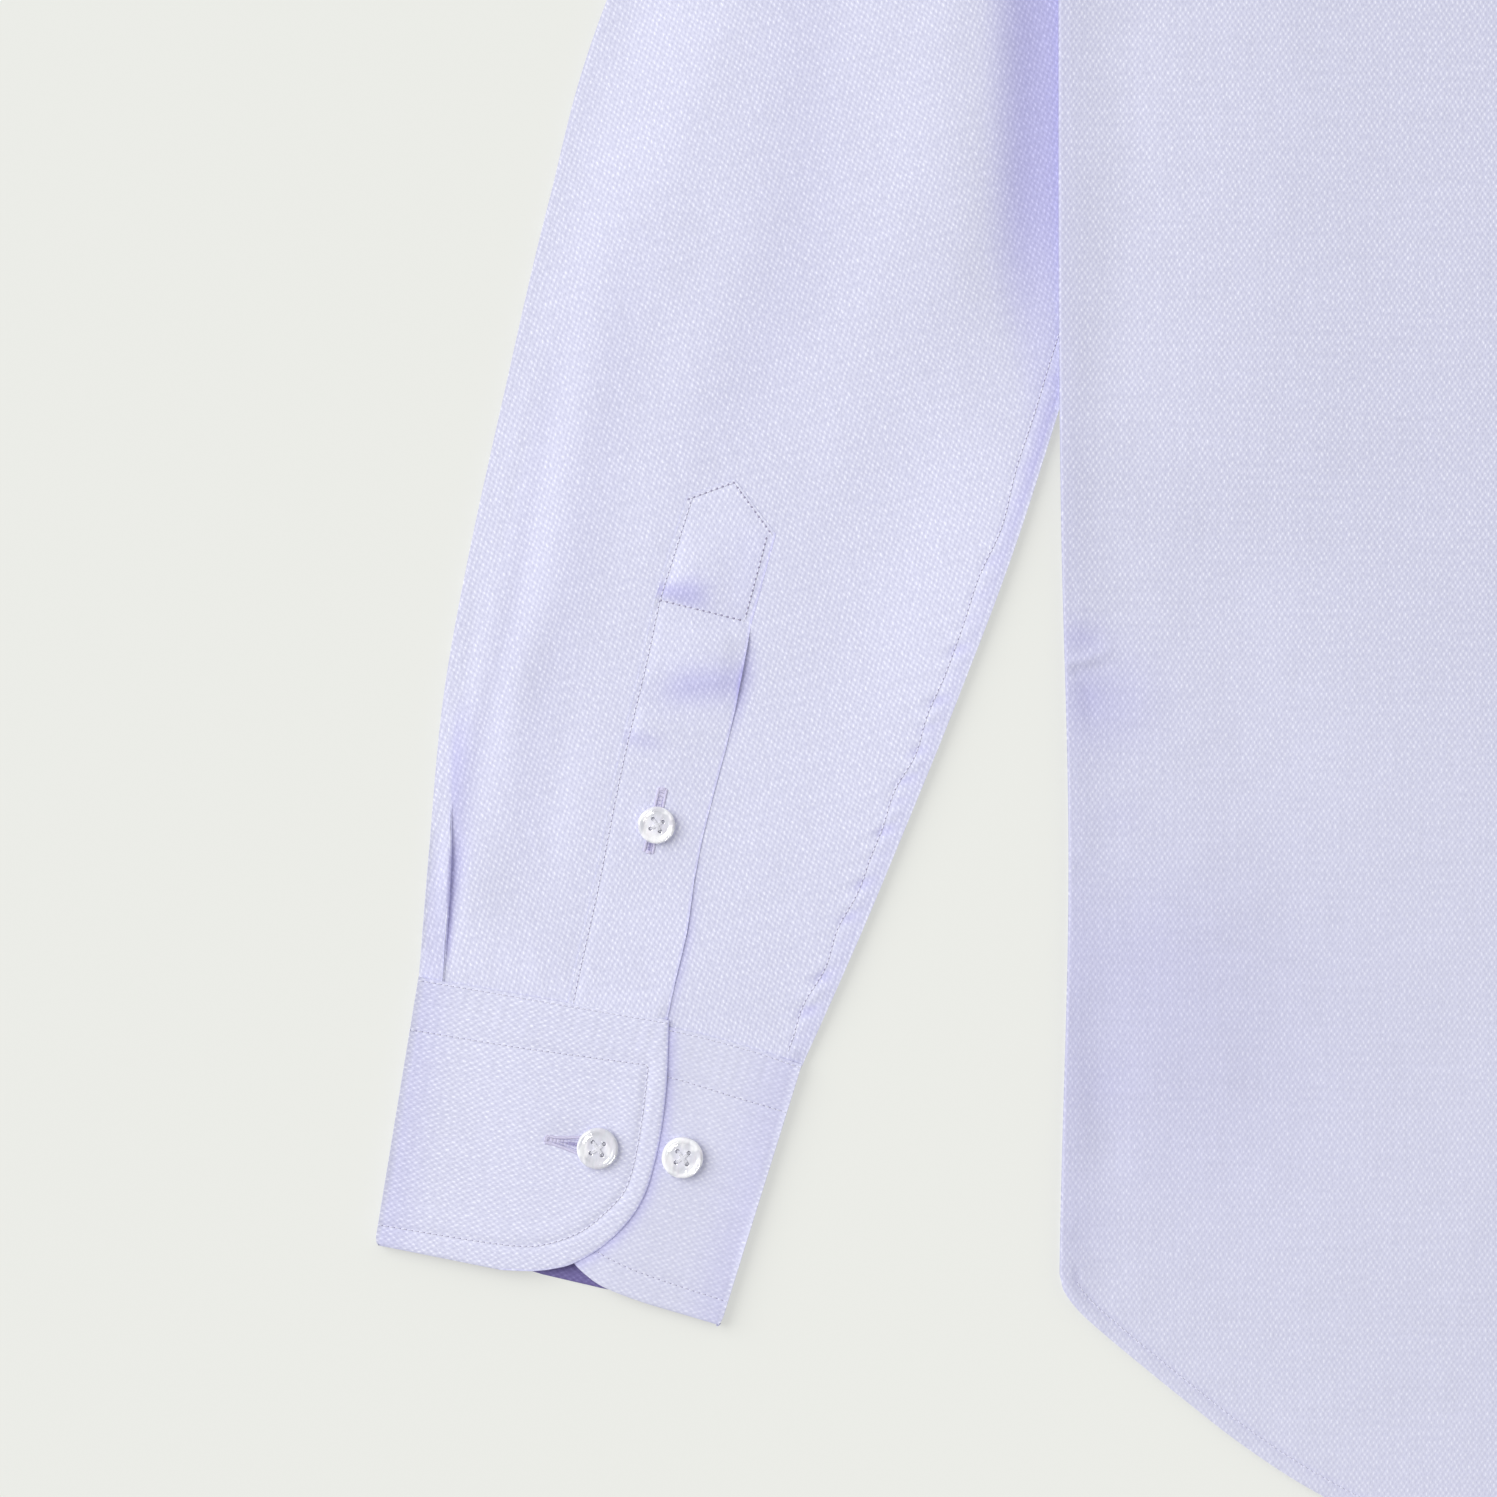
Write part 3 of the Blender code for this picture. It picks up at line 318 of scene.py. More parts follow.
class Nodes:
    """Short calls for making a material's nodes."""

    def __init__(self, name):
        self.mat = bpy.data.materials.new(name)
        self.mat.use_nodes = True
        self.tree = self.mat.node_tree

    def add(self, kind, **values):
        node = self.tree.nodes.new(kind)
        for key, value in values.items():
            setattr(node, key, value)
        return node

    def feed(self, node, values):
        """Fills a node's inputs, named or numbered: a socket is linked, and anything else is set as a constant."""
        for key, value in values.items():
            if isinstance(value, bpy.types.NodeSocket):
                self.tree.links.new(value, node.inputs[key])
            else:
                node.inputs[key].default_value = value
        return node

    def attribute(self, name):
        return self.add("ShaderNodeAttribute", attribute_name=name).outputs["Vector"]

    def math(self, operation, a, b=0.0, clamp=False):
        node = self.add("ShaderNodeMath", operation=operation, use_clamp=clamp)
        return self.feed(node, {0: a, 1: b}).outputs[0]

    def vector_math(self, operation, a, b):
        return self.feed(self.add("ShaderNodeVectorMath", operation=operation), {0: a, 1: b}).outputs[0]

    def scaled(self, vector, scale):
        return self.vector_math("MULTIPLY", vector, scale)

    def parts(self, vector):
        """The three numbers of a vector."""
        return tuple(self.feed(self.add("ShaderNodeSeparateXYZ"), {0: vector}).outputs)

    def noise(self, vector, scale=1.0, detail=2.0, rough=0.5, output="Fac"):
        values = {"Vector": vector, "Scale": scale, "Detail": detail, "Roughness": rough}
        return self.feed(self.add("ShaderNodeTexNoise"), values).outputs[output]

    def ramp(self, value, low, high):
        node = self.add("ShaderNodeMapRange", interpolation_type="SMOOTHSTEP")
        return self.feed(node, {"Value": value, "From Min": low, "From Max": high}).outputs["Result"]

    def mix(self, factor, a, b, blend="MIX"):
        node = self.add("ShaderNodeMix", data_type="RGBA", blend_type=blend)
        return self.feed(node, {0: factor, 6: a, 7: b}).outputs[2]

    def bump(self, height, distance, strength):
        values = {"Strength": strength, "Distance": distance, "Height": height}
        return self.feed(self.add("ShaderNodeBump"), values).outputs["Normal"]

    def surface(self, values):
        """The material, with its shader's sockets filled."""
        self.feed(self.tree.nodes["Principled BSDF"], values)
        return self.mat


def weave_material(name, ground, dot, pit, sheen=0.25):
    """Royal oxford: staggered light dots of weft on a darker ground, read from the cloth's own grain in mm."""
    n = Nodes(name)
    grain = n.attribute("grain")
    # the yarns sway over the cloth and shake from one to the next
    sway = grain
    for scale, reach in ((0.11, (0.9, 0.9, 0.0)), (0.62, (0.75, 1.1, 0.0))):
        sway = n.vector_math("ADD", sway, n.scaled(n.noise(grain, scale, 1.0, output="Color"), reach))
    u, v, _ = n.parts(sway)
    across, along, yarn = (
        n.math("COSINE", n.math("MULTIPLY", place, 2 * np.pi / pitch))
        for place, pitch in ((u, DOT_ACROSS), (v, DOT_ALONG), (u, YARN))
    )
    sharp = n.math("MULTIPLY", n.math("MULTIPLY", across, across), across)
    both = n.math("MULTIPLY", sharp, along)
    dots = n.ramp(both, -0.02, 0.62)
    pits = n.ramp(both, -0.10, -0.80)
    fine = n.noise(n.scaled(grain, (1.35, 0.62, 1.0)), rough=0.62)
    slub = n.noise(n.scaled(grain, (0.9, 0.045, 1.0)))
    pick = n.noise(n.scaled(grain, (0.035, 0.8, 1.0)))
    cloudy = n.noise(grain, 0.012)
    level = n.ramp(fine, 0.30, 0.66)
    bright = n.math("MULTIPLY", n.math("MULTIPLY", dots, level), 0.78)
    bright = n.math("ADD", bright, n.math("MULTIPLY", level, 0.22), clamp=True)
    colour = n.mix(bright, ground, dot)
    # painted shade in the weave's hollows: between the dots the colour goes towards the darker pit colour
    colour = n.mix(n.math("MULTIPLY", pits, 0.6), colour, pit)
    # the shade attribute: painted shade, painted light and shade as a factor on the colour, and calm, which flattens
    # the weave
    painted_shade, light, calm = n.parts(n.attribute("shade"))
    colour = n.mix(calm, colour, tuple(0.7 * a + 0.3 * b for a, b in zip(ground, dot)))
    uneven = n.math("ADD", slub, pick)
    # the yarns' uneven lightness, multiplied below by the painted light and shade that the shade attribute carries
    tone_and_painted_light = n.add("ShaderNodeMath", operation="MULTIPLY_ADD")
    n.feed(tone_and_painted_light, {0: n.math("ADD", uneven, cloudy), 1: 0.085, 2: 0.8725})
    whole = n.math("MULTIPLY", tone_and_painted_light.outputs[0], light)
    grey = n.feed(n.add("ShaderNodeCombineColor"), {0: whole, 1: whole, 2: whole}).outputs[0]
    colour = n.mix(1.0, colour, grey, "MULTIPLY")
    # painted shade darkens the colour and turns it violet
    colour = n.mix(painted_shade, colour, n.mix(1.0, colour, PAINTED_SHADE_TINT, "MULTIPLY"))
    height = n.math("ADD", n.math("MULTIPLY", both, 0.5), n.math("MULTIPLY", yarn, 0.05))
    height = n.math("ADD", height, n.math("MULTIPLY", uneven, 0.35))
    return n.surface({
        "Base Color": colour, "Normal": n.bump(height, 0.00012, 0.4), "Roughness": 0.78, "Specular IOR Level": 0.22,
        "Sheen Weight": sheen, "Sheen Roughness": 0.35, "Sheen Tint": (0.93, 0.93, 1.0, 1.0),
    })


def thread_material(name, colour, roughness=0.55):
    """Twisted sewing thread, a little uneven in its colour."""
    n = Nodes(name)
    place = n.add("ShaderNodeTexCoord").outputs["Object"]
    twist = n.noise(n.scaled(place, (2200.0, 2200.0, 2200.0)))
    dark = tuple(c * 0.86 for c in colour[:3]) + (1.0,)
    return n.surface({"Base Color": n.mix(twist, dark, colour), "Normal": n.bump(twist, 0.00005, 0.5),
                      "Roughness": roughness, "Sheen Weight": 0.2})


def pearl_material(name):
    """Trocas shell: pale and glossy, with soft clouded bands. Its see-through look is painted: its thin dish takes a
    lavender grey, as of the cloth beneath, and the shell gives off a faint glow.
    """
    n = Nodes(name)
    place = n.attribute("disc")
    cloud = n.noise(n.scaled(place, (1.35, 0.95, 1.7)))
    vein = n.noise(n.scaled(place, (5.5, 1.4, 1.0)))
    from_middle = n.add("ShaderNodeVectorMath", operation="LENGTH")
    n.feed(from_middle, {0: n.scaled(place, (1.0, 1.0, 0.0))})
    dish = n.ramp(from_middle.outputs["Value"], 0.66, 0.30)
    tint = n.mix(n.ramp(vein, 0.35, 0.7), srgb(236, 240, 243), srgb(250, 243, 250))
    shade = n.mix(n.ramp(cloud, 0.45, 0.57), srgb(194, 195, 206), srgb(248, 248, 251))
    # painted see-through: the dish is mixed towards a lavender grey
    colour = n.mix(n.math("MULTIPLY", dish, 0.50), n.mix(0.35, shade, tint), srgb(222, 221, 238))
    height = n.math("ADD", cloud, n.math("MULTIPLY", vein, 0.3))
    # the faint emission is a painted glow, for light that passes through the shell
    return n.surface({
        "Base Color": colour, "Normal": n.bump(height, 0.0011, 0.45), "Roughness": 0.16, "Specular IOR Level": 0.8,
        "Coat Weight": 0.8, "Coat Roughness": 0.06, "Emission Color": (0.90, 0.90, 0.96, 1.0),
        "Emission Strength": 0.03,
    })


def floor_material(name):
    """A plain pale studio surface that gives off a soft light of its own, with the faintest mottling."""
    n = Nodes(name)
    mottle = n.noise(n.add("ShaderNodeTexCoord").outputs["Object"], 9.0, 3.0)
    low = tuple(0.99 * c for c in FLOOR_COLOUR[:3]) + (1.0,)
    return n.surface({"Base Color": n.mix(mottle, low, FLOOR_COLOUR), "Roughness": 1.0, "Specular IOR Level": 0.0,
                      "Emission Color": FLOOR_GLOW, "Emission Strength": 1.0})


FLOOR_COLOUR, FLOOR_GLOW = (0.400, 0.404, 0.385, 1.0), (0.420, 0.424, 0.404, 1.0)
# the colour that painted shade turns the cloth towards
PAINTED_SHADE_TINT = (0.62, 0.580, 0.955, 1.0)
DOT_ACROSS, DOT_ALONG, YARN = 1.56, 2.24, 0.39  # steps of the weave in mm
CLOTH_MAT = weave_material("cloth", (0.615, 0.622, 0.788, 1.0), (0.868, 0.875, 0.994, 1.0), (0.51, 0.51, 0.69, 1.0))
# dark violet cloth for the cuff's inside faces: painted shade where the inside shows between the cuff's layers
SHADED_INSIDE_MAT = weave_material("cloth_inside_painted_shade", (0.160, 0.130, 0.340, 1.0), (0.250, 0.220, 0.470, 1.0),
                            (0.12, 0.10, 0.27, 1.0), sheen=0.05)
THREAD_MAT = thread_material("thread", (0.74, 0.74, 0.88, 1.0))
# the dark beads at the needles' pits and in the buttonholes' slits are painted shade
PIT_SHADE_MAT = thread_material("needle_pit_shade", (0.33, 0.30, 0.46, 1.0), 0.9)
BUTTONHOLE_MAT = thread_material("buttonhole_thread", (0.66, 0.63, 0.83, 1.0))
SLIT_SHADE_MAT = thread_material("buttonhole_slit_shade", (0.40, 0.37, 0.62, 1.0), 0.9)
PEARL_MAT = pearl_material("shell_button")

# ---------------------------------------------------------------- making meshes


def to_row(points):
    return (np.asarray(points, dtype=float) - np.array([0.0, ORIGIN_Y, 0.0])) * MM


def grid_normals(points, ring):
    down = np.gradient(points, axis=0)
    across = np.roll(points, -1, 1) - np.roll(points, 1, 1) if ring else np.gradient(points, axis=1)
    normal = np.cross(across, down)
    normal /= np.maximum(np.linalg.norm(normal, axis=-1, keepdims=True), 1e-9)
    if ring:
        outward = ((points - points.mean(axis=1, keepdims=True)) * normal).sum()
    else:
        outward = normal[..., 2].sum()
    return (normal, False) if outward > 0 else (-normal, True)


def linked(name, data):
    """An object in the scene for a mesh, a light or the camera."""
    obj = bpy.data.objects.new(name, data)
    bpy.context.scene.collection.objects.link(obj)
    return obj


def write_vectors(mesh, name, vectors):
    """Gives the vertices an attribute for the materials to read."""
    attribute = mesh.attributes.new(name, "FLOAT_VECTOR", "POINT")
    attribute.data.foreach_set("vector", vectors.astype(np.float32).ravel())


def finish_mesh(name, verts, faces, materials, slots=None, sharp=60.0):
    mesh = bpy.data.meshes.new(name)
    mesh.from_pydata(to_row(verts).tolist(), [], faces)
    for mat in materials:
        mesh.materials.append(mat)
    if slots is not None:
        mesh.polygons.foreach_set("material_index", np.asarray(slots, dtype=np.int32))
    mesh.shade_smooth()
    if sharp:
        mesh.set_sharp_from_angle(angle=np.radians(sharp))
    mesh.validate()
    return linked(name, mesh)


def rotated(x, y, angle):
    return x * np.cos(angle) + y * np.sin(angle), -x * np.sin(angle) + y * np.cos(angle)


def shell(node, outside, grain, thick=CLOTH, ring=False, present=None, inner_slot=0, painted_shade=0.0, tone_and_painted_light=1.0, calm=0.0):
    """A closed wall of cloth in a node's place: the given grid of points, the same grid moved in by its thickness,
    and its edges. The weave's material reads painted shade (made violet), painted light and shade as a factor on
    its colour, and calm, which flattens the weave's pattern; inner_slot 1 gives inside faces the dark painted-shade
    cloth."""
    rows, columns = outside.shape[:2]
    normal, flipped = grid_normals(outside, ring)
    inside = outside - normal * np.asarray(thick)[..., None]
    # where cloth that lies on the floor folds over itself, its wall still stands above the floor
    turned = inside[..., 2] < TURNED_BELOW
    inside[..., 2] = np.where(turned, outside[..., 2] + thick, inside[..., 2])
    wide = columns if ring else columns - 1
    kept = np.ones((rows - 1, wide), dtype=bool) if present is None else present
    index = np.arange(rows * columns).reshape(rows, columns)
    if ring:
        index = np.concatenate([index, index[:, :1]], axis=1)
    i, j = np.nonzero(kept)
    quads = np.stack([index[i, j], index[i, j + 1], index[i + 1, j + 1], index[i + 1, j]], axis=1)
    count = rows * columns
    if flipped:
        outer, inner = quads[:, ::-1], quads + count
    else:
        outer, inner = quads, quads[:, ::-1] + count
    rims = []
    for di, dj, a, b in ((-1, 0, 0, 1), (0, 1, 1, 2), (1, 0, 2, 3), (0, -1, 3, 0)):
        ni, nj = i + di, j + dj
        if ring:
            nj = nj % wide
        inside_grid = (ni >= 0) & (ni < rows - 1) & (nj >= 0) & (nj < wide)
        neighbour = np.zeros(len(i), dtype=bool)
        neighbour[inside_grid] = kept[ni[inside_grid], nj[inside_grid]]
        edge = quads[~neighbour]
        first, second = edge[:, a], edge[:, b]
        if flipped:
            first, second = second, first
        rims.append(np.stack([second, first, first + count, second + count], axis=1))
    rim = np.concatenate(rims)
    faces = np.concatenate([outer, inner, rim])
    verts = np.concatenate([outside.reshape(-1, 3), inside.reshape(-1, 3)])
    used = np.unique(faces)
    renumber = np.full(len(verts), -1)
    renumber[used] = np.arange(len(used))
    # inside faces take the material in inner_slot: 1 is the dark cloth of painted shade
    slots = np.concatenate([np.zeros(len(outer)), np.broadcast_to(inner_slot, wide)[j], np.zeros(len(rim))])
    name = f"{node}_cloth"
    obj = finish_mesh(name, verts[used], renumber[faces].tolist(), [CLOTH_MAT, SHADED_INSIDE_MAT], slots)
    both = (2, rows, columns)  # the outside and the inside
    outside_painted_shade = np.stack([np.broadcast_to(painted_shade, both[1:]), np.zeros(both[1:])])
    for label, values in (("grain", (*grain, 0.0)), ("shade", (outside_painted_shade, tone_and_painted_light, calm))):
        vectors = np.stack([np.broadcast_to(value, both) for value in values], axis=-1)
        write_vectors(obj.data, label, vectors.reshape(-1, 3)[used])
    SURFACE[name] = (outside.reshape(-1, 3), outer)
    return place(obj, node)


TURNED_BELOW, RAY_FROM = -0.2, 60.0  # mm: under the floor, and over the whole shirt
SURFACE = {}
TREES = {}


def surface_tree(name):
    """A search tree of a piece's outer surface, in mm."""
    if name not in TREES:
        points, faces = SURFACE[name]
        TREES[name] = BVHTree.FromPolygons([Vector(p) for p in points], faces.tolist())
    return TREES[name]


def settle(name, x, y):
    """The uppermost point of a piece at (x, y) and its upward normal, or None beside the piece."""
    hit, normal, _, _ = surface_tree(name).ray_cast(Vector((x, y, RAY_FROM)), Vector((0.0, 0.0, -1.0)))
    if hit is None:
        return None
    return np.array(hit), np.array(normal if normal.z > 0 else -normal)


def resampled(line, pitch):
    """Points of a line at equal steps of about the given pitch."""
    line, _, at = measured(line)
    want = np.linspace(0.0, at[-1], max(2, int(round(at[-1] / pitch)) + 1))
    return np.stack([np.interp(want, at, line[:, 0]), np.interp(want, at, line[:, 1])], axis=1)


def lens(sides, rings):
    """Template of a small closed bead along X: unit half length, width and height."""
    verts = [(-1.0, 0.0, 0.0)]
    for place, size in rings:
        for k in range(sides):
            angle = 2 * np.pi * (k + 0.5) / sides
            verts.append((place, size * np.cos(angle), size * np.sin(angle)))
    verts.append((1.0, 0.0, 0.0))
    faces = [(0, 1 + (k + 1) % sides, 1 + k) for k in range(sides)]
    for r in range(len(rings) - 1):
        low, high = 1 + r * sides, 1 + (r + 1) * sides
        for k in range(sides):
            faces.append((low + k, low + (k + 1) % sides, high + (k + 1) % sides, high + k))
    low, tip = 1 + (len(rings) - 1) * sides, len(verts) - 1
    faces += [(low + k, low + (k + 1) % sides, tip) for k in range(sides)]
    return np.array(verts), faces


THREAD_BEAD = lens(6, ((-0.62, 0.82), (0.0, 1.0), (0.62, 0.82)))
SHADE_BEAD = lens(6, ((0.0, 1.0),))


class Beads:
    """Many small threads and dark beads of painted shade gathered into one mesh."""

    def __init__(self):
        self.verts, self.faces, self.slots, self.total = [], [], [], 0

    def put(self, template, centre, along, up, size, slot):
        along = np.asarray(along, dtype=float)
        up = np.asarray(up, dtype=float)
        along = along - up * (along @ up)
        along /= max(np.linalg.norm(along), 1e-9)
        side = np.cross(up, along)
        points = template[0] * np.asarray(size)
        placed = np.asarray(centre) + points[:, :1] * along + points[:, 1:2] * side + points[:, 2:] * up
        self.verts.append(placed)
        self.faces.extend([tuple(v + self.total for v in face) for face in template[1]])
        self.slots.extend([slot] * len(template[1]))
        self.total += len(placed)

    def lay(self, template, cloth, spot, direction, lift, size, slot, below=np.inf):
        """Puts a bead just over a place of the cloth and says whether it did: not beside the cloth or too high."""
        found = settle(cloth, spot[0], spot[1])
        if found is None or found[0][2] > below:
            return False
        point, up = found
        self.put(template, point + up * lift, np.append(direction, 0.0), up, size, slot)
        return True

    def row(self, cloth, line, show=1.0, below=np.inf):
        """A row of stitches: threads, with a dark bead of painted shade at the needle's pit between one and the next.
        Show is the size of the pits.
        """
        points = resampled(line, PITCH)
        pit = (PIT_SHADE_SIZE[0] * show, PIT_SHADE_SIZE[1] * show, PIT_SHADE_SIZE[2])
        for a, b in zip(points[:-1], points[1:]):
            if self.lay(THREAD_BEAD, cloth, (a + b) / 2, b - a, 0.02, THREAD_SIZE, 0, below):
                self.lay(SHADE_BEAD, cloth, a, b - a, 0.01, pit, 1, below)

    def make(self, name, materials):
        return place(finish_mesh(name, np.concatenate(self.verts), self.faces, materials, self.slots, sharp=None))


def stitch_mesh(name, cloth, rows):
    """All rows of stitches of a piece: each is a line and, if need be, what else Beads.row takes."""
    beads = Beads()
    for row in rows:
        beads.row(cloth, *row)
    return beads.make(name, [THREAD_MAT, PIT_SHADE_MAT])


def place(obj, *nodes, slot="cloth"):
    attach(obj, "root")
    if nodes:
        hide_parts(*nodes)
    return obj


def mirrored(points, side):
    return np.asarray(points) * np.array([side, 1.0, 1.0])


def flipped_line(line, side):
    return [(side * x, y) for x, y in line]


# ---------------------------------------------------------------- sleeve


def line_y(start, end, x):
    return start[1] + (end[1] - start[1]) * (x - start[0]) / (end[0] - start[0])


def overlap_seam_y(x):
    return line_y(CUFF_TOP_OUTER, OVERLAP_TOP, x)


def underlap_seam_y(x):
    share = (x - UNDERLAP_TOP[0]) / (CUFF_TOP_INNER[0] - UNDERLAP_TOP[0])
    return line_y(UNDERLAP_TOP, CUFF_TOP_INNER, x) + 4.0 * UNDERLAP_BOW * share * (1.0 - share)


def inner_seam_y(x):
    return line_y(CUFF_TOP_OUTER, CUFF_TOP_INNER, x)


def sleeve_plan(section, share, seam_y):
    """Where a point of the flat sleeve lies: section counts from the armhole, share from the outer edge."""
    outer_x, outer_y, inner_x, inner_y = np.moveaxis(smooth_rows(SLEEVE_SECTIONS, section), -1, 0)[:4]
    x = outer_x + (inner_x - outer_x) * share
    y = outer_y + (inner_y - outer_y) * share
    armhole_y = SHOULDER_Y + (ARMPIT_Y - SHOULDER_Y) * share
    chord_x = SHOULDER_X + (HALF_CHEST - SHOULDER_X) * share
    armhole = half_width(armhole_y) + GAP - chord_x
    x = x + armhole * np.clip(1.0 - section / ARMHOLE_FADE, 0.0, 1.0) ** 3
    to_cuff = ease((section - SLEEVE_END + CUFF_FADE) / CUFF_FADE)
    return x, y + (seam_y(x) - 0.5 - inner_seam_y(x)) * to_cuff


def fold_at(section, share, points, depth, before, behind):
    """A long soft trough, steep on the side before its centre line and gentle behind it."""
    points = np.asarray(points, dtype=float)
    centre = np.interp(section, points[:, 0], points[:, 1])
    first, last = points[0, 0], points[-1, 0]
    fade = ease((section - first + 0.5) / 1.1) * ease((last + 0.5 - section) / 1.1)
    away = share - centre
    half = np.where(away < 0.0, before, behind)
    return -depth * fade * bell(away, half)


def pleat_line(section):
    return np.interp(section, [8.2, 9.0, 9.91], [0.036, 0.050, 0.0655])


def sleeve_frame(section, share):
    """Distances of a sleeve point in mm: from its outer edge, its inner edge and the body's edge."""
    rows = smooth_rows(SLEEVE_SECTIONS, section)
    wide = np.hypot(rows[..., 0] - rows[..., 2], rows[..., 1] - rows[..., 3])
    x, y = sleeve_plan(section, share, inner_seam_y)
    return rows[..., 4], share * wide, (1.0 - share) * wide, x, y, np.abs(x) - half_width(y) - GAP


def edge_extra(section):
    """How much thicker the tube's inner edge stands where no body lies on it."""
    return 0.5 * ease((section - 5.0) / 1.2) * ease((10.0 - section) / 0.7)


def sleeve_height(section, share, folds):
    """Top of the sleeve's upper layer: the tube's soft fullness with its folds, flank and unevenness."""
    section, share = np.broadcast_arrays(np.asarray(section, dtype=float), np.asarray(share, dtype=float))
    fullness, d_out, d_in, x, y, d_body = sleeve_frame(section, share)
    rise = ease(d_out / 36.0)
    crest = 0.86 + 0.14 * ease((share - 0.42) / 0.38)
    level = ease((d_in - 4.0) / 58.0)
    high = (fullness * crest * level + edge_extra(section) * (1.0 - level)) * rise
    # under the body's side the sleeve is pressed flat, and a steep flank leads down to there
    pressed = ease((y - 215.0) / 75.0)
    free = 1.0 - pressed * (1.0 - ease((d_body - 1.0) / 17.0))
    high = high + 0.6 * pressed * bell(d_body - 28.0, 13.0) * fullness / 3.3
    soft = ease(d_out / 12.0) * (0.25 + 0.75 * level)
    for points, depth, before, behind in folds:
        high = high + fold_at(section, share, points, depth, before, behind) * soft
    high = high + (0.17 * waves(x, y, 46.0, 3) + 0.05 * waves(x, y, 17.0, 4)) * soft
    # gathers that run up from the cuff's seam, where the cloth rises into the cuff
    near_cuff = ease((section - 9.35) / 0.65)
    high = high + 0.09 * near_cuff * waves(x, y * 0.15, 9.0, 5) * soft
    z = STEP_UP + PLY + np.maximum(high * free, 0.0)
    across = (CUFF_TOP_OUTER[0] - x) / (CUFF_TOP_OUTER[0] - OVERLAP_TOP[0])
    under = 2 * CUFF_PLY + GAP
    level_with = under + (over_height(across) - under) * ease((0.660 - share) / 0.05) - 0.45
    raised = np.maximum(level_with - z, 0.0) * ease((section - 9.72) / 0.27)
    return z + raised * ease(d_out / 5.0) * ease(d_in / 5.0)


def over_height(across):
    """Top of the cuff's overlapping layer, from its fold at 0 to its free edge at 1."""
    return CUFF_PLY + (CUFF_PLY + GAP) * (1.0 + 0.44 * ease(across / OVERLAP_LEVEL))


def felled(section, share, side):
    """The felled seam along the inner edge: a raised strip with a stitched furrow and puckers."""
    _, _, from_edge, _, y, _ = sleeve_frame(section, share)
    strip = FELL_WIDTH
    rise = 0.06 * ease((strip + 0.2 - from_edge) / 1.6)
    furrow = -0.15 * bell(from_edge - strip + 0.9 - fell_sway(section, side), 0.9)
    along = y * 0.93 + from_edge * (0.35 + 0.15 * side)
    pull = puckers(along, side)
    middle = bell(from_edge - 0.72 * strip, 2.3)
    grows = 0.25 + 0.75 * ease((section - 5.2) / 2.2)
    spread = 0.06 * bell(from_edge - strip - 2.2, 2.4) * np.sin(along * 2 * np.pi / 6.1 + 0.7)
    return rise + furrow + (0.17 * middle * pull + spread) * grows


def puckers(along, side):
    pull = np.sin(along * 2 * np.pi / 7.3 + 1.9 * np.sin(along / 19.0 + side))
    return pull + 0.7 * np.sin(along * 2 * np.pi / 11.9 + 1.0 + side)


def fell_sway(section, side):
    """How far the felled seam's row of stitches strays from its even course."""
    return 0.75 * waves(section * 46.0, side * 31.0, 19.0, 12) * ease((section - 5.0) / 1.5)


FELL_WIDTH = 7.3
SEWN_UNDER, SEWN_DOWN = 1.0, 0.75
PLEAT_BASE = 0.060
# The pleat's fold in columns: share beside its line, then how far each moves across and up when fully folded.
PLEAT_FOLD = ((0.0000, 0.0, 0.75), (0.0004, 0.0036, 0.40), (0.0008, -0.0050, 0.10), (0.0012, -0.0080, -0.25),
              (0.0016, 0.0020, -0.60), (0.0070, 0.0040, -0.70))


def sleeve_columns(fine):
    """Shares of the upper layer's columns, closer at the pleat and the felled seam, with columns on the slit's edges.
    """
    a, b = (0.0062, 0.0115) if fine else (0.011, 0.019)
    before = spaced((0.014, PLEAT_BASE, a))[:-1]
    fold = [PLEAT_BASE + row[0] for row in PLEAT_FOLD]
    after = spaced((PLEAT_BASE + 0.0125, 0.14, a), (0.14, SLIT_LEFT, b), (SLIT_LEFT, SLIT_RIGHT, b),
                   (SLIT_RIGHT, 0.90, b), (0.90, 0.988, a * 0.7))
    return np.concatenate([before, fold, after])


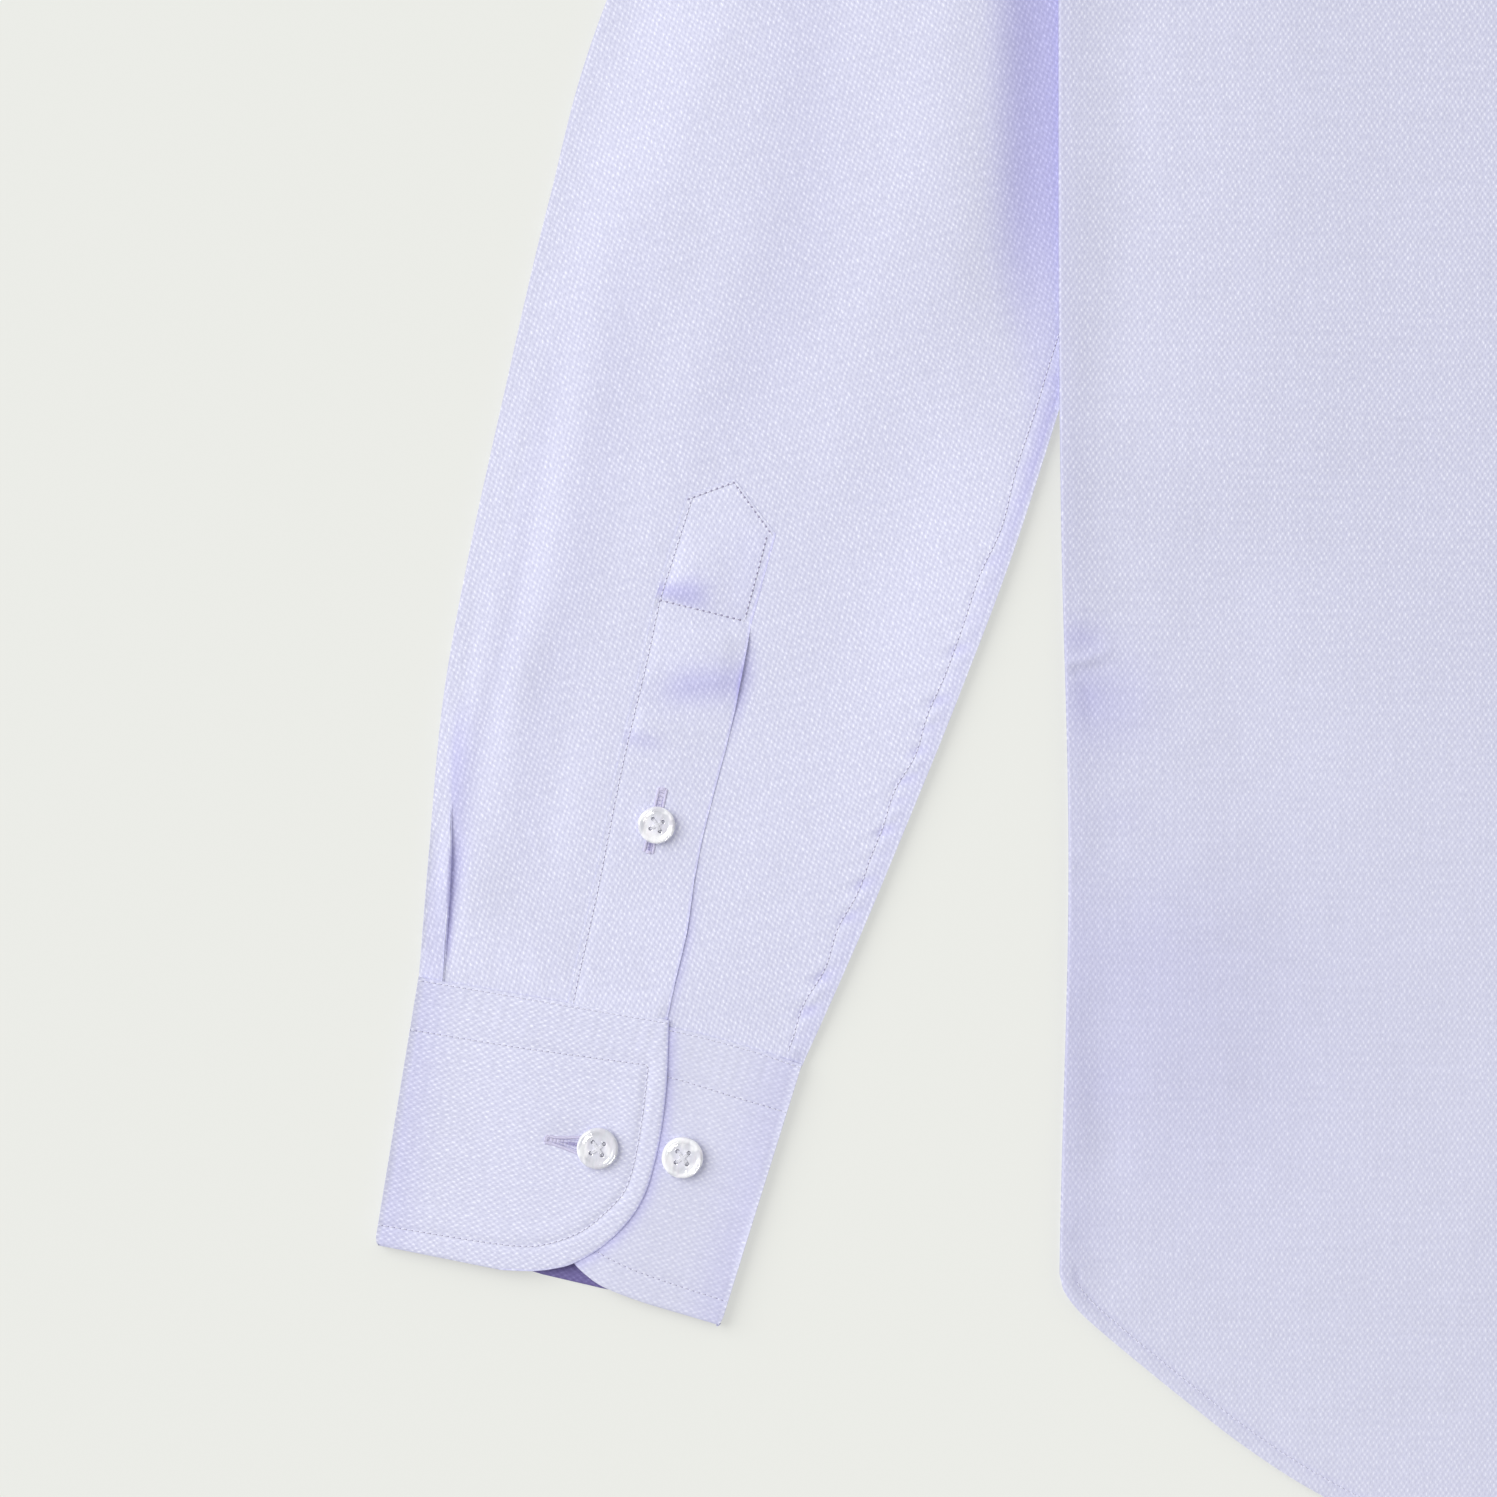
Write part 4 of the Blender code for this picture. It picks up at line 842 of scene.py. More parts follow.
def sleeve(label, side, fine, folds):
    stations = spaced((0.0, 3.0, 0.075 if fine else 0.12), (3.0, 6.0, 0.034 if fine else 0.06),
                      (6.0, SLIT_TOP, 0.030 if fine else 0.05), (SLIT_TOP, 9.0, 0.034 if fine else 0.06),
                      (9.0, SLEEVE_END, 0.030 if fine else 0.05))
    shares = sleeve_columns(fine)
    base, section = np.meshgrid(shares, stations)
    share, lift = pleated(section, base)
    slit_middle = (SLIT_LEFT + SLIT_RIGHT) / 2
    left = sleeve_plan(section, share, overlap_seam_y)
    right = sleeve_plan(section, share, underlap_seam_y)
    x, y = (np.where(share < slit_middle, p, q) for p, q in zip(left, right))
    z = sleeve_height(section, share, folds) + felled(section, share, side) + lift
    # at the armhole's seam the sleeve goes a little under the body's edge
    sewn = (section < 1e-9) * ease(share / 0.03)
    x, z = x - SEWN_UNDER * sewn, z - SEWN_DOWN * sewn
    upper = np.stack([x, y, z], axis=-1)
    angles = np.radians(np.linspace(72.0, -72.0, 9))
    outer_fold = sleeve_edge(0.0, 1.0, stations, angles[::-1])
    inner_fold = sleeve_edge(1.0, -1.0, stations, angles)
    under_share, under_section = np.meshgrid(np.linspace(0.985, 0.015, 26), stations)
    ux, uy = sleeve_plan(under_section, under_share, inner_seam_y)
    under = np.stack([ux, uy, np.zeros_like(ux)], axis=-1)
    points = np.concatenate([upper, inner_fold, under, outer_fold], axis=1)
    present = np.ones((len(stations) - 1, points.shape[1]), dtype=bool)
    columns = np.nonzero((shares[:-1] > SLIT_LEFT - 1e-6) & (shares[:-1] < SLIT_RIGHT - 1e-6))[0]
    rows = np.nonzero(stations[:-1] >= SLIT_TOP - 1e-6)[0]
    present[np.ix_(rows, columns)] = False
    grain = rotated(points[..., 0], points[..., 1], -SLEEVE_GRAIN)
    # painted shade and painted light on the upper layer
    painted_shade = np.zeros(points.shape[:2])
    painted_shade[:, :len(shares)] = sleeve_painted_shade(section, share, base, folds, side)
    tone_and_painted_light = np.ones(points.shape[:2])
    tone_and_painted_light[:, :len(shares)] = sleeve_painted_light(section, share)
    # painted light on the inner fold's wall, which faces away from the light, and painted shade on the outer fold's
    # wall, which faces it
    tone_and_painted_light[:, len(shares):len(shares) + len(angles)] = 1.10
    tone_and_painted_light[:, -len(angles):] = 0.83
    node = f"sleeve_{label}"
    piece = shell(node, mirrored(points, side), (side * grain[0], grain[1]), ring=True, present=present, painted_shade=painted_shade,
                  tone_and_painted_light=tone_and_painted_light)
    stations = np.linspace(2.9, 9.93, 240)
    rows = smooth_rows(SLEEVE_SECTIONS, stations)
    wide = np.hypot(rows[:, 0] - rows[:, 2], rows[:, 1] - rows[:, 3])
    inward = FELL_WIDTH - 0.9 + fell_sway(stations, side)
    seam = np.stack(sleeve_plan(stations, 1.0 - inward / wide, underlap_seam_y), axis=-1)
    return piece, stitch_mesh(f"{node}_stitches", piece.name, [(seam * np.array([side, 1.0]),)])


def pleated(section, base):
    """The small pleat at the cuff: its columns follow the pleat's line and fold under the strip beside the edge."""
    near = np.where(base < PLEAT_BASE, base / PLEAT_BASE, ease((0.14 - base) / 0.08))
    share = base + (pleat_line(section) - PLEAT_BASE) * near
    folded = ease((section - 8.62) / 0.50) * (1.0 - 0.85 * ease((section - 9.2) / 0.75))
    beside = base - PLEAT_BASE
    lift = 0.75 * ease((beside + 0.040) / 0.040) * (beside < 0.0)
    lift = lift - 0.70 * ease((0.050 - beside) / 0.043) * (beside > 0.0071)
    across = np.zeros_like(share)
    for offset, move, up in PLEAT_FOLD:
        own = np.abs(beside - offset) < 1e-5
        lift = np.where(own, up, lift)
        across = np.where(own, move, across)
    return share + across * folded, lift * folded


def sleeve_painted_shade(section, share, base, folds, side):
    """Painted shade on the sleeve, 0 to 1: beside the body, in the pleat, in the soft folds, on the felled strip and
    by the placket's edge.
    """
    _, _, d_in, _, y, d_body = sleeve_frame(section, share)
    # painted shade beside the body's edge, where the sleeve dips under it
    reach = 13.0 + 11.0 * ease((y - 240.0) / 50.0)
    beside = ease((reach - d_body) / (0.66 * reach))
    down = ease((y - 212.0) / 45.0) * (0.34 + 0.66 * ease((y - 250.0) / 60.0))
    painted_shade = 0.60 * beside * down * ease((ARMPIT_Y + 20.0 - y) / 60.0)
    # the pleat starts as a wide soft trough and closes to a narrow fold at the cuff
    past = (base - PLEAT_BASE - 0.002) * 120.0
    wide = 0.9 + 1.4 * ease((9.75 - section) / 1.0)
    soft = np.where(past > 0.0, wide * 1.6, 0.45 + 1.6 * ease((8.9 - section) / 0.6))
    strength = 0.62 * ease((section - 8.75) / 0.4) * ease((9.98 - section) / 0.35)
    strength = strength + 0.36 * ease((section - 7.8) / 0.6) * ease((9.2 - section) / 0.5)
    painted_shade = painted_shade + np.clip(strength, 0.0, 1.0) * bell(past, soft)
    painted_shade = painted_shade + 0.16 * ease((section - 8.7) / 0.7) * ease((PLEAT_BASE + 0.001 - base) / 0.002)
    # a little painted shade in the first soft folds
    for points, _, before, _ in folds[:3]:
        painted_shade = painted_shade + 0.05 * -fold_at(section, share + 0.5 * before, points, 1.0, before, before)
    # the felled strip lies in a little shade by its edge, and so do the hollows between its puckers
    strip = ease((d_in - 0.2) / 1.0) * ease((FELL_WIDTH - d_in) / (0.8 * FELL_WIDTH)) * ease((section - 4.6) / 1.0)
    hollows = np.clip(-puckers(y * 0.93 + d_in * (0.35 + 0.15 * side), side), 0.0, 1.5)
    hollows = hollows * bell(d_in - 0.72 * FELL_WIDTH, 2.2) * (0.3 + 0.7 * ease((section - 5.6) / 2.0))
    by_body = ease((section - 4.7) / 0.6) * ease((6.5 - section) / 1.0)
    painted_shade = painted_shade + (0.13 + 0.30 * by_body) * strip + 0.24 * hollows
    # painted shade beside the placket's lifted free edge
    edge = strip_share(section, 1.0)
    lift = placket_edges(section)[2]
    past = (share - edge) * 125.0
    painted_shade = painted_shade + 0.52 * np.clip(lift, 0.0, 0.9) / 0.9 * bell(past, 0.9 + 1.5 * lift)
    return np.clip(painted_shade, 0.0, 1.0)


# soft spots of painted light (amount above 0) and painted shade (amount below 0) on the sleeves
SLEEVE_PAINTED_LIGHT = (  # section, share, reach along and across, amount
    (6.0, 0.84, 0.9, 0.13, 0.090),
    (7.3, 0.84, 1.1, 0.16, 0.060),
    (8.9, 0.83, 1.0, 0.18, 0.025),
    (4.1, 0.30, 1.3, 0.22, 0.022),
    (7.6, 0.165, 0.45, 0.040, -0.080),
    (7.2, 0.265, 0.55, 0.055, -0.030),
    (9.2, 0.170, 0.35, 0.070, -0.060),
    (9.8, 0.260, 0.25, 0.120, 0.030),
    (6.2, 0.060, 0.8, 0.060, 0.040),
    (8.3, 0.030, 0.4, 0.045, 0.045),
    (7.9, 0.655, 0.9, 0.075, 0.035),
)


def sleeve_painted_light(section, share):
    """Painted light and painted shade on the sleeve in broad soft spots, as a factor on its colour."""
    tone_and_painted_light = 1.0 + 0.0 * share
    for middle, across, reach, wide, amount in SLEEVE_PAINTED_LIGHT:
        tone_and_painted_light = tone_and_painted_light + amount * np.exp(-(((section - middle) / reach) ** 2) - ((share - across) / wide) ** 2)
    return tone_and_painted_light


def sleeve_edge(share, inward, stations, angles):
    """Points round a folded edge of the tube."""
    edge_x, edge_y = sleeve_plan(stations, share, inner_seam_y)
    beside_x, beside_y = sleeve_plan(stations, share + 0.02 * inward, inner_seam_y)
    step = np.hypot(beside_x - edge_x, beside_y - edge_y)
    in_x, in_y = (beside_x - edge_x) / step, (beside_y - edge_y) / step
    radius = FOLD_R + (edge_extra(stations) / 2.0 if share > 0.5 else 0.0 * stations)
    columns = []
    for angle in angles:
        inset = (0.15 if share > 0.5 else 0.30) * (1.0 - np.cos(angle))
        z = radius * (1.0 + np.sin(angle))
        columns.append(np.stack([edge_x + inset * in_x, edge_y + inset * in_y, z], axis=-1))
    return np.stack(columns, axis=1)


def placket_edges(section):
    """The strip's left and right edges as shares of the sleeve's width, and the lift of its free edge."""
    return [np.interp(section, PLACKET_EDGES[:, 0], column) for column in PLACKET_EDGES[:, 1:].T]


def strip_share(section, across):
    left, right, _ = placket_edges(section)
    return left + (right - left) * across


def placket_height(section, across, share, folds):
    """Top of the placket: two plies on the sleeve, with a bulge on each side of its bar and a lifted free edge."""
    lift = placket_edges(section)[2]
    z = sleeve_height(section, share, folds) + 0.36 + 0.25 * lift * across**2.2
    above = ease((section - 6.30) / 0.34) * ease((6.87 - section) / 0.12)
    z = z + 0.75 * above * (1.0 - 0.85 * ease((across - 0.30) / 0.5)) * ease((across + 0.05) / 0.35)
    below = ease((section - 6.90) / 0.15) * ease((7.52 - section) / 0.24)
    at_edge = 1.0 - 0.60 * ease((across - 0.72) / 0.28)
    z = z + 1.10 * below * (0.20 + 0.80 * ease(across / 0.60)) * at_edge
    ripple = ease((section - 7.62) / 0.14) * ease((7.98 - section) / 0.16)
    return z + 0.50 * ripple * bell(across - 0.18, 0.30)


def placket_painted_shade(section, across):
    """Painted shade of the placket's ripples, on the sides that fall away from the light, along its free edge and on
    the right of its top.
    """
    tall = 0.05 + 0.06 * ease(across / 0.35)
    wedge = bell(section - 6.83 + 0.3 * tall, tall) * ease((0.66 - across) / 0.36) * (section < 6.875)
    middle = 7.41 - 0.26 * (across - 0.5)
    under = bell(section - middle, 0.15) * (0.15 + 0.85 * ease((across - 0.12) / 0.4))
    small = bell(section - 7.90, 0.07) * ease((0.5 - across) / 0.3)
    edge = bell(section - 7.30, 0.20) * ease((across - 0.93) / 0.05)
    tower_shade = ease((across - 0.30) / 0.6) * ease((section - 6.2) / 0.2) * ease((6.95 - section) / 0.1)
    return np.clip(0.50 * wedge + 0.40 * under + 0.22 * small + 0.15 * edge + 0.07 * tower_shade, 0.0, 1.0)


def placket_outline(side):
    """The strip's outline as lines in the plane, and the plan that places points of the strip."""
    def plan(section, across):
        section, across = np.asarray(section, dtype=float), np.asarray(across, dtype=float)
        x, y = sleeve_plan(section, strip_share(section, across), overlap_seam_y)
        return np.stack([side * x, y], axis=-1)

    left_s = np.linspace(10.0, 6.22, 40)
    right_s = np.linspace(6.30, 10.0, 40)
    left = plan(left_s, 0 * left_s)
    tip = plan([6.06], [0.43])
    right = plan(right_s, 0 * right_s + 1.0)
    return left, tip, right, plan


def sleeve_placket(label, side, folds):
    across = spaced((0.0, 0.12, 0.017), (0.12, 0.88, 0.034), (0.88, 1.0, 0.017))
    top = np.interp(across, PLACKET_TOP[:, 0], PLACKET_TOP[:, 1])
    climb = np.concatenate([np.linspace(0.0, 0.97, 170, endpoint=False), np.linspace(0.97, 1.0, 14)])[:, None]
    section = SLEEVE_END + (top - SLEEVE_END) * climb
    wide = np.broadcast_to(across, section.shape)
    share = strip_share(section, wide)
    x, y = sleeve_plan(section, share, overlap_seam_y)
    z = placket_height(section, wide, share, folds)
    left, tip, right, plan = placket_outline(1.0)
    stitched = np.concatenate([left, tip, right[:7]])
    d = from_line(x, y, stitched)
    ground = sleeve_height(section, share, folds)
    held = 1.0 - ease(d / 4.2)
    z = z + (ground + 0.20 - z) * held - 0.05 * bell(d - 1.4, 0.7)
    d_right = from_line(x, y, right)
    z = z - 0.14 * rounded(d_right, 0.8)
    bar = plan([6.88, 6.87], [0.0, 1.0])
    z = z - (0.22 + 0.1 * wide) * bell(from_line(x, y, bar), 1.4) * ease(d / 1.5)
    z = z + dent(x, y, PLACKET_HOLE, 2.2, 0.18)
    points = np.stack([x, y, z], axis=-1)
    thick = 0.30 - 0.15 * (1.0 - ease(np.minimum(d, d_right) / 1.6))
    grain = rotated(x, y, -PLACKET_GRAIN)
    # painted light on the top and the low end of the strip, painted shade along its stitched left edge, and on its
    # free edge painted light together with violet painted shade
    tone_and_painted_light = 0.992 + 0.03 * ease((6.85 - section) / 0.2) + 0.045 * ease((section - 8.6) / 0.6)
    tone_and_painted_light = tone_and_painted_light - 0.035 * (1.0 - ease(from_line(x, y, left) / 3.0)) + 0.30 * (1.0 - ease(d_right / 0.9))
    painted_shade = np.clip(placket_painted_shade(section, wide) + 0.35 * (1.0 - ease(d_right / 0.9)), 0.0, 1.0)
    node = f"sleeve_placket_{label}"
    piece = shell(node, mirrored(points, side), (side * grain[0], grain[1]), thick=thick, painted_shade=painted_shade, tone_and_painted_light=tone_and_painted_light)
    rows = [(inner_line(left, 1.4), 1.0), (inner_line(np.concatenate([left[-1:], tip, right[:1]]), 1.0), 1.5),
            (plan([6.88, 6.87], [0.06, 0.94]), 1.6), (plan([6.34, 6.50, 6.86], [0.915, 0.92, 0.925]), 1.5)]
    rows = [(flipped_line(row, side), show) for row, show in rows]
    return piece, stitch_mesh(f"{node}_stitches", piece.name, rows)


def inner_line(line, inset):
    """A line moved sideways, towards the middle of what it goes round."""
    line = np.asarray(line, dtype=float)
    step = np.gradient(line, axis=0)
    step /= np.maximum(np.linalg.norm(step, axis=1, keepdims=True), 1e-9)
    sideways = np.stack([step[:, 1], -step[:, 0]], axis=1) * inset
    centre = line.mean(axis=0)
    return min((line + sideways, line - sideways), key=lambda moved: np.linalg.norm(moved - centre, axis=1).mean())


def sleeve_underlap(label, side, folds):
    stations = spaced((SLIT_TOP + 0.03, SLEEVE_END, 0.08))
    shares = np.linspace(UNDERLAP_LEFT, SLIT_RIGHT - 0.003, 10)
    share, section = np.meshgrid(shares, stations)
    x, y = sleeve_plan(section, share, underlap_seam_y)
    z = sleeve_height(section, share, folds)
    grain = rotated(x, y, -SLEEVE_GRAIN)
    points = mirrored(np.stack([x, y, z], axis=-1), side)
    # painted shade on the underlap by the slit's right edge, under the placket
    painted_shade = 0.5 * ease((share - SLIT_RIGHT + 0.02) / 0.02)
    return shell(f"sleeve_underlap_{label}", points, (side * grain[0], grain[1]), painted_shade=painted_shade)


# ---------------------------------------------------------------- cuff


def between(corners, across, down, bow=0.0):
    top_a, top_b, low_a, low_b = (np.array(p) for p in corners)
    across = np.asarray(across)[..., None]
    upper = top_a + (top_b - top_a) * across
    upper = upper + np.array([0.0, 4.0 * bow]) * across * (1.0 - across)
    lower = low_a + (low_b - low_a) * across
    return upper + (lower - upper) * np.asarray(down)[..., None]


OVER_CORNERS = (CUFF_TOP_OUTER, OVERLAP_TOP, CUFF_LOW_OUTER, OVERLAP_LOW)
UNDER_CORNERS = (CUFF_TOP_INNER, UNDERLAP_TOP, CUFF_LOW_INNER, UNDERLAP_LOW)
BOTTOM_CORNERS = (CUFF_TOP_OUTER, CUFF_TOP_INNER, CUFF_LOW_OUTER, CUFF_LOW_INNER)
CUFF_THICK = 1.35
CUFF_LOW = 1.014  # share of the cuff's height where its open edge lies
UNDER_TOP = 3.7  # the underlap's own stitches lie below this, and what is higher is the overlap
# Free edges and inner rows of stitches of the two layers, as (down, across) shares from the seam and the fold.
OVER_EDGE = ((0.0, 0.999), (0.12, 1.015), (0.253, 1.029), (0.407, 1.034), (0.523, 1.027), (0.639, 1.008),
             (0.74, 0.965), (0.85, 0.882), (0.938, 0.775), (0.975, 0.692), (0.996, 0.618), (CUFF_LOW, 0.50))
OVER_ROW = ((0.199, 0.0), (0.199, 0.028), (0.194, 0.419), (0.175, 0.945), (0.318, 0.952), (0.473, 0.952),
            (0.624, 0.935), (0.714, 0.882), (0.816, 0.788), (0.885, 0.666), (0.914, 0.559), (0.928, 0.34),
            (0.937, 0.033), (0.938, 0.0))
UNDER_EDGE = ((0.0, 1.0), (0.40, 1.0), (0.65, 0.992), (0.80, 0.960), (0.88, 0.915), (0.943, 0.846), (0.979, 0.76),
              (1.0, 0.672), (1.010, 0.535), (CUFF_LOW, 0.42))
UNDER_ROW = ((0.186, 0.0), (0.191, 0.243), (0.183, 0.51), (0.183, 0.90), (0.40, 0.925), (0.62, 0.91), (0.76, 0.86),
             (0.84, 0.79), (0.88, 0.717), (0.907, 0.526), (0.918, 0.25), (0.922, 0.0))


def smooth_line(points, corners, bow, count=90, sharp=()):
    """A line through (down, across) points of a layer, smooth between the corners named by their numbers."""
    points = np.asarray(points, dtype=float)
    cuts = [0, *sharp, len(points) - 1]
    parts = []
    for first, last in zip(cuts[:-1], cuts[1:]):
        piece = points[first:last + 1]
        parts.append(smooth_rows(piece, np.linspace(0.0, len(piece) - 1.0, count)))
    dense = np.concatenate(parts)
    return dense, between(corners, dense[:, 1], dense[:, 0], bow)


def cuff_fold(corners, toward, down, angles):
    point = between(corners, np.zeros(len(down)), down)
    corner = 1.1 * rounded((CUFF_LOW - down) * CUFF_HEIGHT, 3.0)
    columns = []
    for angle in angles:
        inset = 0.22 * (1.0 - np.cos(angle)) + corner
        x = point[:, 0] + toward * inset
        z = CUFF_FOLD_R * (1.0 + np.sin(angle)) + 0.0 * x
        columns.append(np.stack([x, point[:, 1], z], axis=-1))
    return np.stack(columns, axis=1)


def cuff_layer(corners, bow, edge, columns, down):
    """One visible layer of the cuff as a grid, from its fold to its free edge."""
    ends = np.interp(down, np.maximum.accumulate(edge[:, 0]), edge[:, 1])
    across = columns[None, :] * ends[:, None]
    row = np.broadcast_to(down[:, None], across.shape)
    point = between(corners, across, row, bow)
    return point[..., 0], point[..., 1], across


def cuff(label, side):
    down = np.concatenate([spaced((0.0, 0.04, 0.008), (0.04, 0.60, 0.013)),
                           CUFF_LOW - (CUFF_LOW - 0.60) * (1.0 - np.linspace(0.0, 1.0, 46)[1:]) ** 1.6])
    columns = np.concatenate([spaced((0.035, 0.86, 0.016)), 1.0 - 0.14 * (1.0 - np.linspace(0, 1, 22)[1:]) ** 1.4])
    angles = np.radians(np.linspace(75.0, -75.0, 9))

    edge, free = smooth_line(OVER_EDGE, OVER_CORNERS, 0.0)
    x, y, across = cuff_layer(OVER_CORNERS, 0.0, edge, columns, down)
    z = over_height(across)
    over_rows = [seam_row(OVER_CORNERS, 0.0, 0.012), smooth_line(OVER_ROW, OVER_CORNERS, 0.0, 40, (3,))[1]]
    seam, low = seam_row(OVER_CORNERS, 0.0, 0.0), seam_row(OVER_CORNERS, 0.0, CUFF_LOW, 0.5)
    z, over_thick = dressed(x, y, z, seam, np.concatenate([free, low[::-1]]), over_rows)
    over_thick = over_thick * (1.0 - 0.36 * ease(across / 0.5))
    z = z + dent(x, y, CUFF_HOLE, 2.4, 0.22)
    over = np.stack([x, y, z], axis=-1)

    edge_u, free_u = smooth_line(UNDER_EDGE, UNDER_CORNERS, UNDERLAP_BOW)
    ux, uy, across_u = cuff_layer(UNDER_CORNERS, UNDERLAP_BOW, edge_u, columns, down)
    uz = 2 * CUFF_PLY + GAP + 0.0 * ux
    under_rows = [seam_row(UNDER_CORNERS, UNDERLAP_BOW, 0.012),
                  smooth_line(UNDER_ROW, UNDER_CORNERS, UNDERLAP_BOW, 40, (3,))[1]]
    seam_u = seam_row(UNDER_CORNERS, UNDERLAP_BOW, 0.0)
    low_u = seam_row(UNDER_CORNERS, UNDERLAP_BOW, CUFF_LOW, 0.42)
    uz, under_thick = dressed(ux, uy, uz, seam_u, np.concatenate([free_u, low_u[::-1]]), under_rows)
    under = np.stack([ux, uy, uz], axis=-1)

    outer_fold = cuff_fold(OVER_CORNERS, -1.0, down, angles)
    inner_fold = cuff_fold(UNDER_CORNERS, 1.0, down, angles[::-1])
    bottom_share = np.linspace(0.03, 0.97, 22)
    shares, rows = np.meshgrid(bottom_share, down)
    # its open edge lies a little inside the two layers above, but for the place where it shows between them
    inward = 0.050 * ease((rows - 0.5) / 0.5)
    shown = ease((shares - 0.36) / 0.10) * ease((0.78 - shares) / 0.10)
    shares, rows = 0.5 + (shares - 0.5) * (1.0 - 0.6 * inward), rows * (1.0 - inward * (1.0 - 0.40 * shown))
    flat = between(BOTTOM_CORNERS, shares, rows)
    bottom = np.concatenate([flat, np.zeros(flat.shape[:2] + (1,))], axis=-1)
    points = np.concatenate([over[:, ::-1], outer_fold, bottom, inner_fold, under], axis=1)
    count = len(angles)
    to_end = (CUFF_THICK - 0.95 * rounded((CUFF_LOW - down) * CUFF_HEIGHT, 2.5))[:, None]
    plain, wide = (np.broadcast_to(to_end, (len(down), k)) for k in (count, len(bottom_share)))
    thick = np.concatenate([over_thick[:, ::-1], plain, wide, plain, under_thick], axis=1)
    angle = np.full(points.shape[1], OVER_GRAIN)
    angle[-under.shape[1] - count:] = UNDER_GRAIN
    along, up = rotated(points[..., 0], points[..., 1], angle[None, :])
    # painted shade: beside the overlap's free edge on the underlap, on the underlap near its fold, and on the overlap
    # by its fold and its free edge
    painted_shade = np.zeros(points.shape[:2])
    beyond = from_line(ux, uy, free)
    covered = between_side(ux, uy, free)
    shadow = 0.42 * bell(np.where(covered, 0.0, beyond), 2.4)
    painted_shade[:, -under.shape[1]:] = shadow + 0.20 * ease((0.30 - across_u) / 0.30)
    by_fold = ease((0.22 - across) / 0.22)
    by_edge = 1.0 - ease(from_line(x, y, free) / 0.9)
    painted_shade[:, :over.shape[1]] = (0.22 * by_fold + 0.30 * by_edge)[:, ::-1]
    # painted light and shade as a factor on the colour: shade on the outer fold's wall and light on the inner fold's,
    # the overlap a little lighter away from its fold, light on its free edge and shade by the buttonhole's puckers,
    # the underlap darker near its fold and lighter in the shadow beside the overlap's edge
    tone_and_painted_light = np.ones(points.shape[:2])
    first, last = over.shape[1], points.shape[1] - under.shape[1]
    tone_and_painted_light[:, first:first + count] = 0.82
    tone_and_painted_light[:, last - count:last] = 1.10
    pucker_shade = np.exp(-(((x - CUFF_HOLE[0][0] + 6.5) / 6.0) ** 2) - ((y - CUFF_HOLE[0][1] - 3.5) / 3.0) ** 2)
    tone_and_painted_light[:, :first] = (1.004 + 0.014 * ease((across - 0.15) / 0.3) + 0.32 * by_edge - 0.06 * pucker_shade)[:, ::-1]
    tone_and_painted_light[:, last:] = 0.968 + 0.034 * ease((across_u - 0.45) / 0.35)
    tone_and_painted_light[:, last:] += 0.08 * bell(np.where(covered, 0.0, beyond), 1.6)
    calm = np.zeros(points.shape[:2])
    calm[:, last:] = 0.30
    # the cuff's inside faces take the dark cloth of painted shade, but for those round its folds
    inner = np.ones(points.shape[1] - 1, dtype=int)
    inner[first - 1:first + count] = 0
    inner[last - count - 1:last] = 0
    node = f"cuff_{label}"
    piece = shell(node, mirrored(points, side), (up, side * along), thick=thick, inner_slot=inner, painted_shade=painted_shade,
                  tone_and_painted_light=tone_and_painted_light, calm=calm)
    rows = [(flipped_line(row, side), show, below) for layer, below in ((over_rows, np.inf), (under_rows, UNDER_TOP))
            for row, show in zip(layer, (0.6, 0.8))]
    return piece, stitch_mesh(f"{node}_stitches", piece.name, rows)


def between_side(x, y, line):
    """Whether a point lies on the outer side of a line that runs down, by its distance from the centre line."""
    order = np.argsort(line[:, 1])
    return x > np.interp(y, line[order, 1], line[order, 0])


def dressed(x, y, z, seam, edge, rows):
    """A thick layer's surface: rounded edges, furrows along its rows of stitches and a soft fullness between."""
    d_edge = from_line(x, y, edge)
    d_seam = from_line(x, y, seam)
    d = np.minimum(d_edge, d_seam)
    z = z - 0.42 * rounded(d_edge, 1.0) - 0.06 * rounded(d_seam, 0.8)
    # the furrow that each row of stitches pulls into the cloth
    for row, depth in zip(rows, (0.08, 0.18)):
        z = z - depth * bell(from_line(x, y, row), 0.9)
    to_row = from_line(x, y, rows[1])
    band = ease(d / 1.5) * ease(to_row / 2.5)
    z = z + 0.14 * band * ease((14.0 - d) / 3.0)
    # puckers that run across the bands between two rows of stitches
    pucker = 0.045 * np.sin((x + 0.35 * y) * 2 * np.pi / 3.9 + 1.1 * np.sin(x / 7.0))
    z = z + pucker * band * ease((13.0 - d_seam) / 3.0)
    z = z + 0.10 * waves(x, y, 38.0, 8) * ease(d / 8.0) + 0.035 * waves(x, y, 11.0, 9) * ease(d / 3.0)
    return z, CUFF_THICK - 0.95 * rounded(d, 1.1)


def seam_row(corners, bow, down, end=1.0):
    return between(corners, np.linspace(0.0, end, 24), np.full(24, down), bow)


# ---------------------------------------------------------------- body


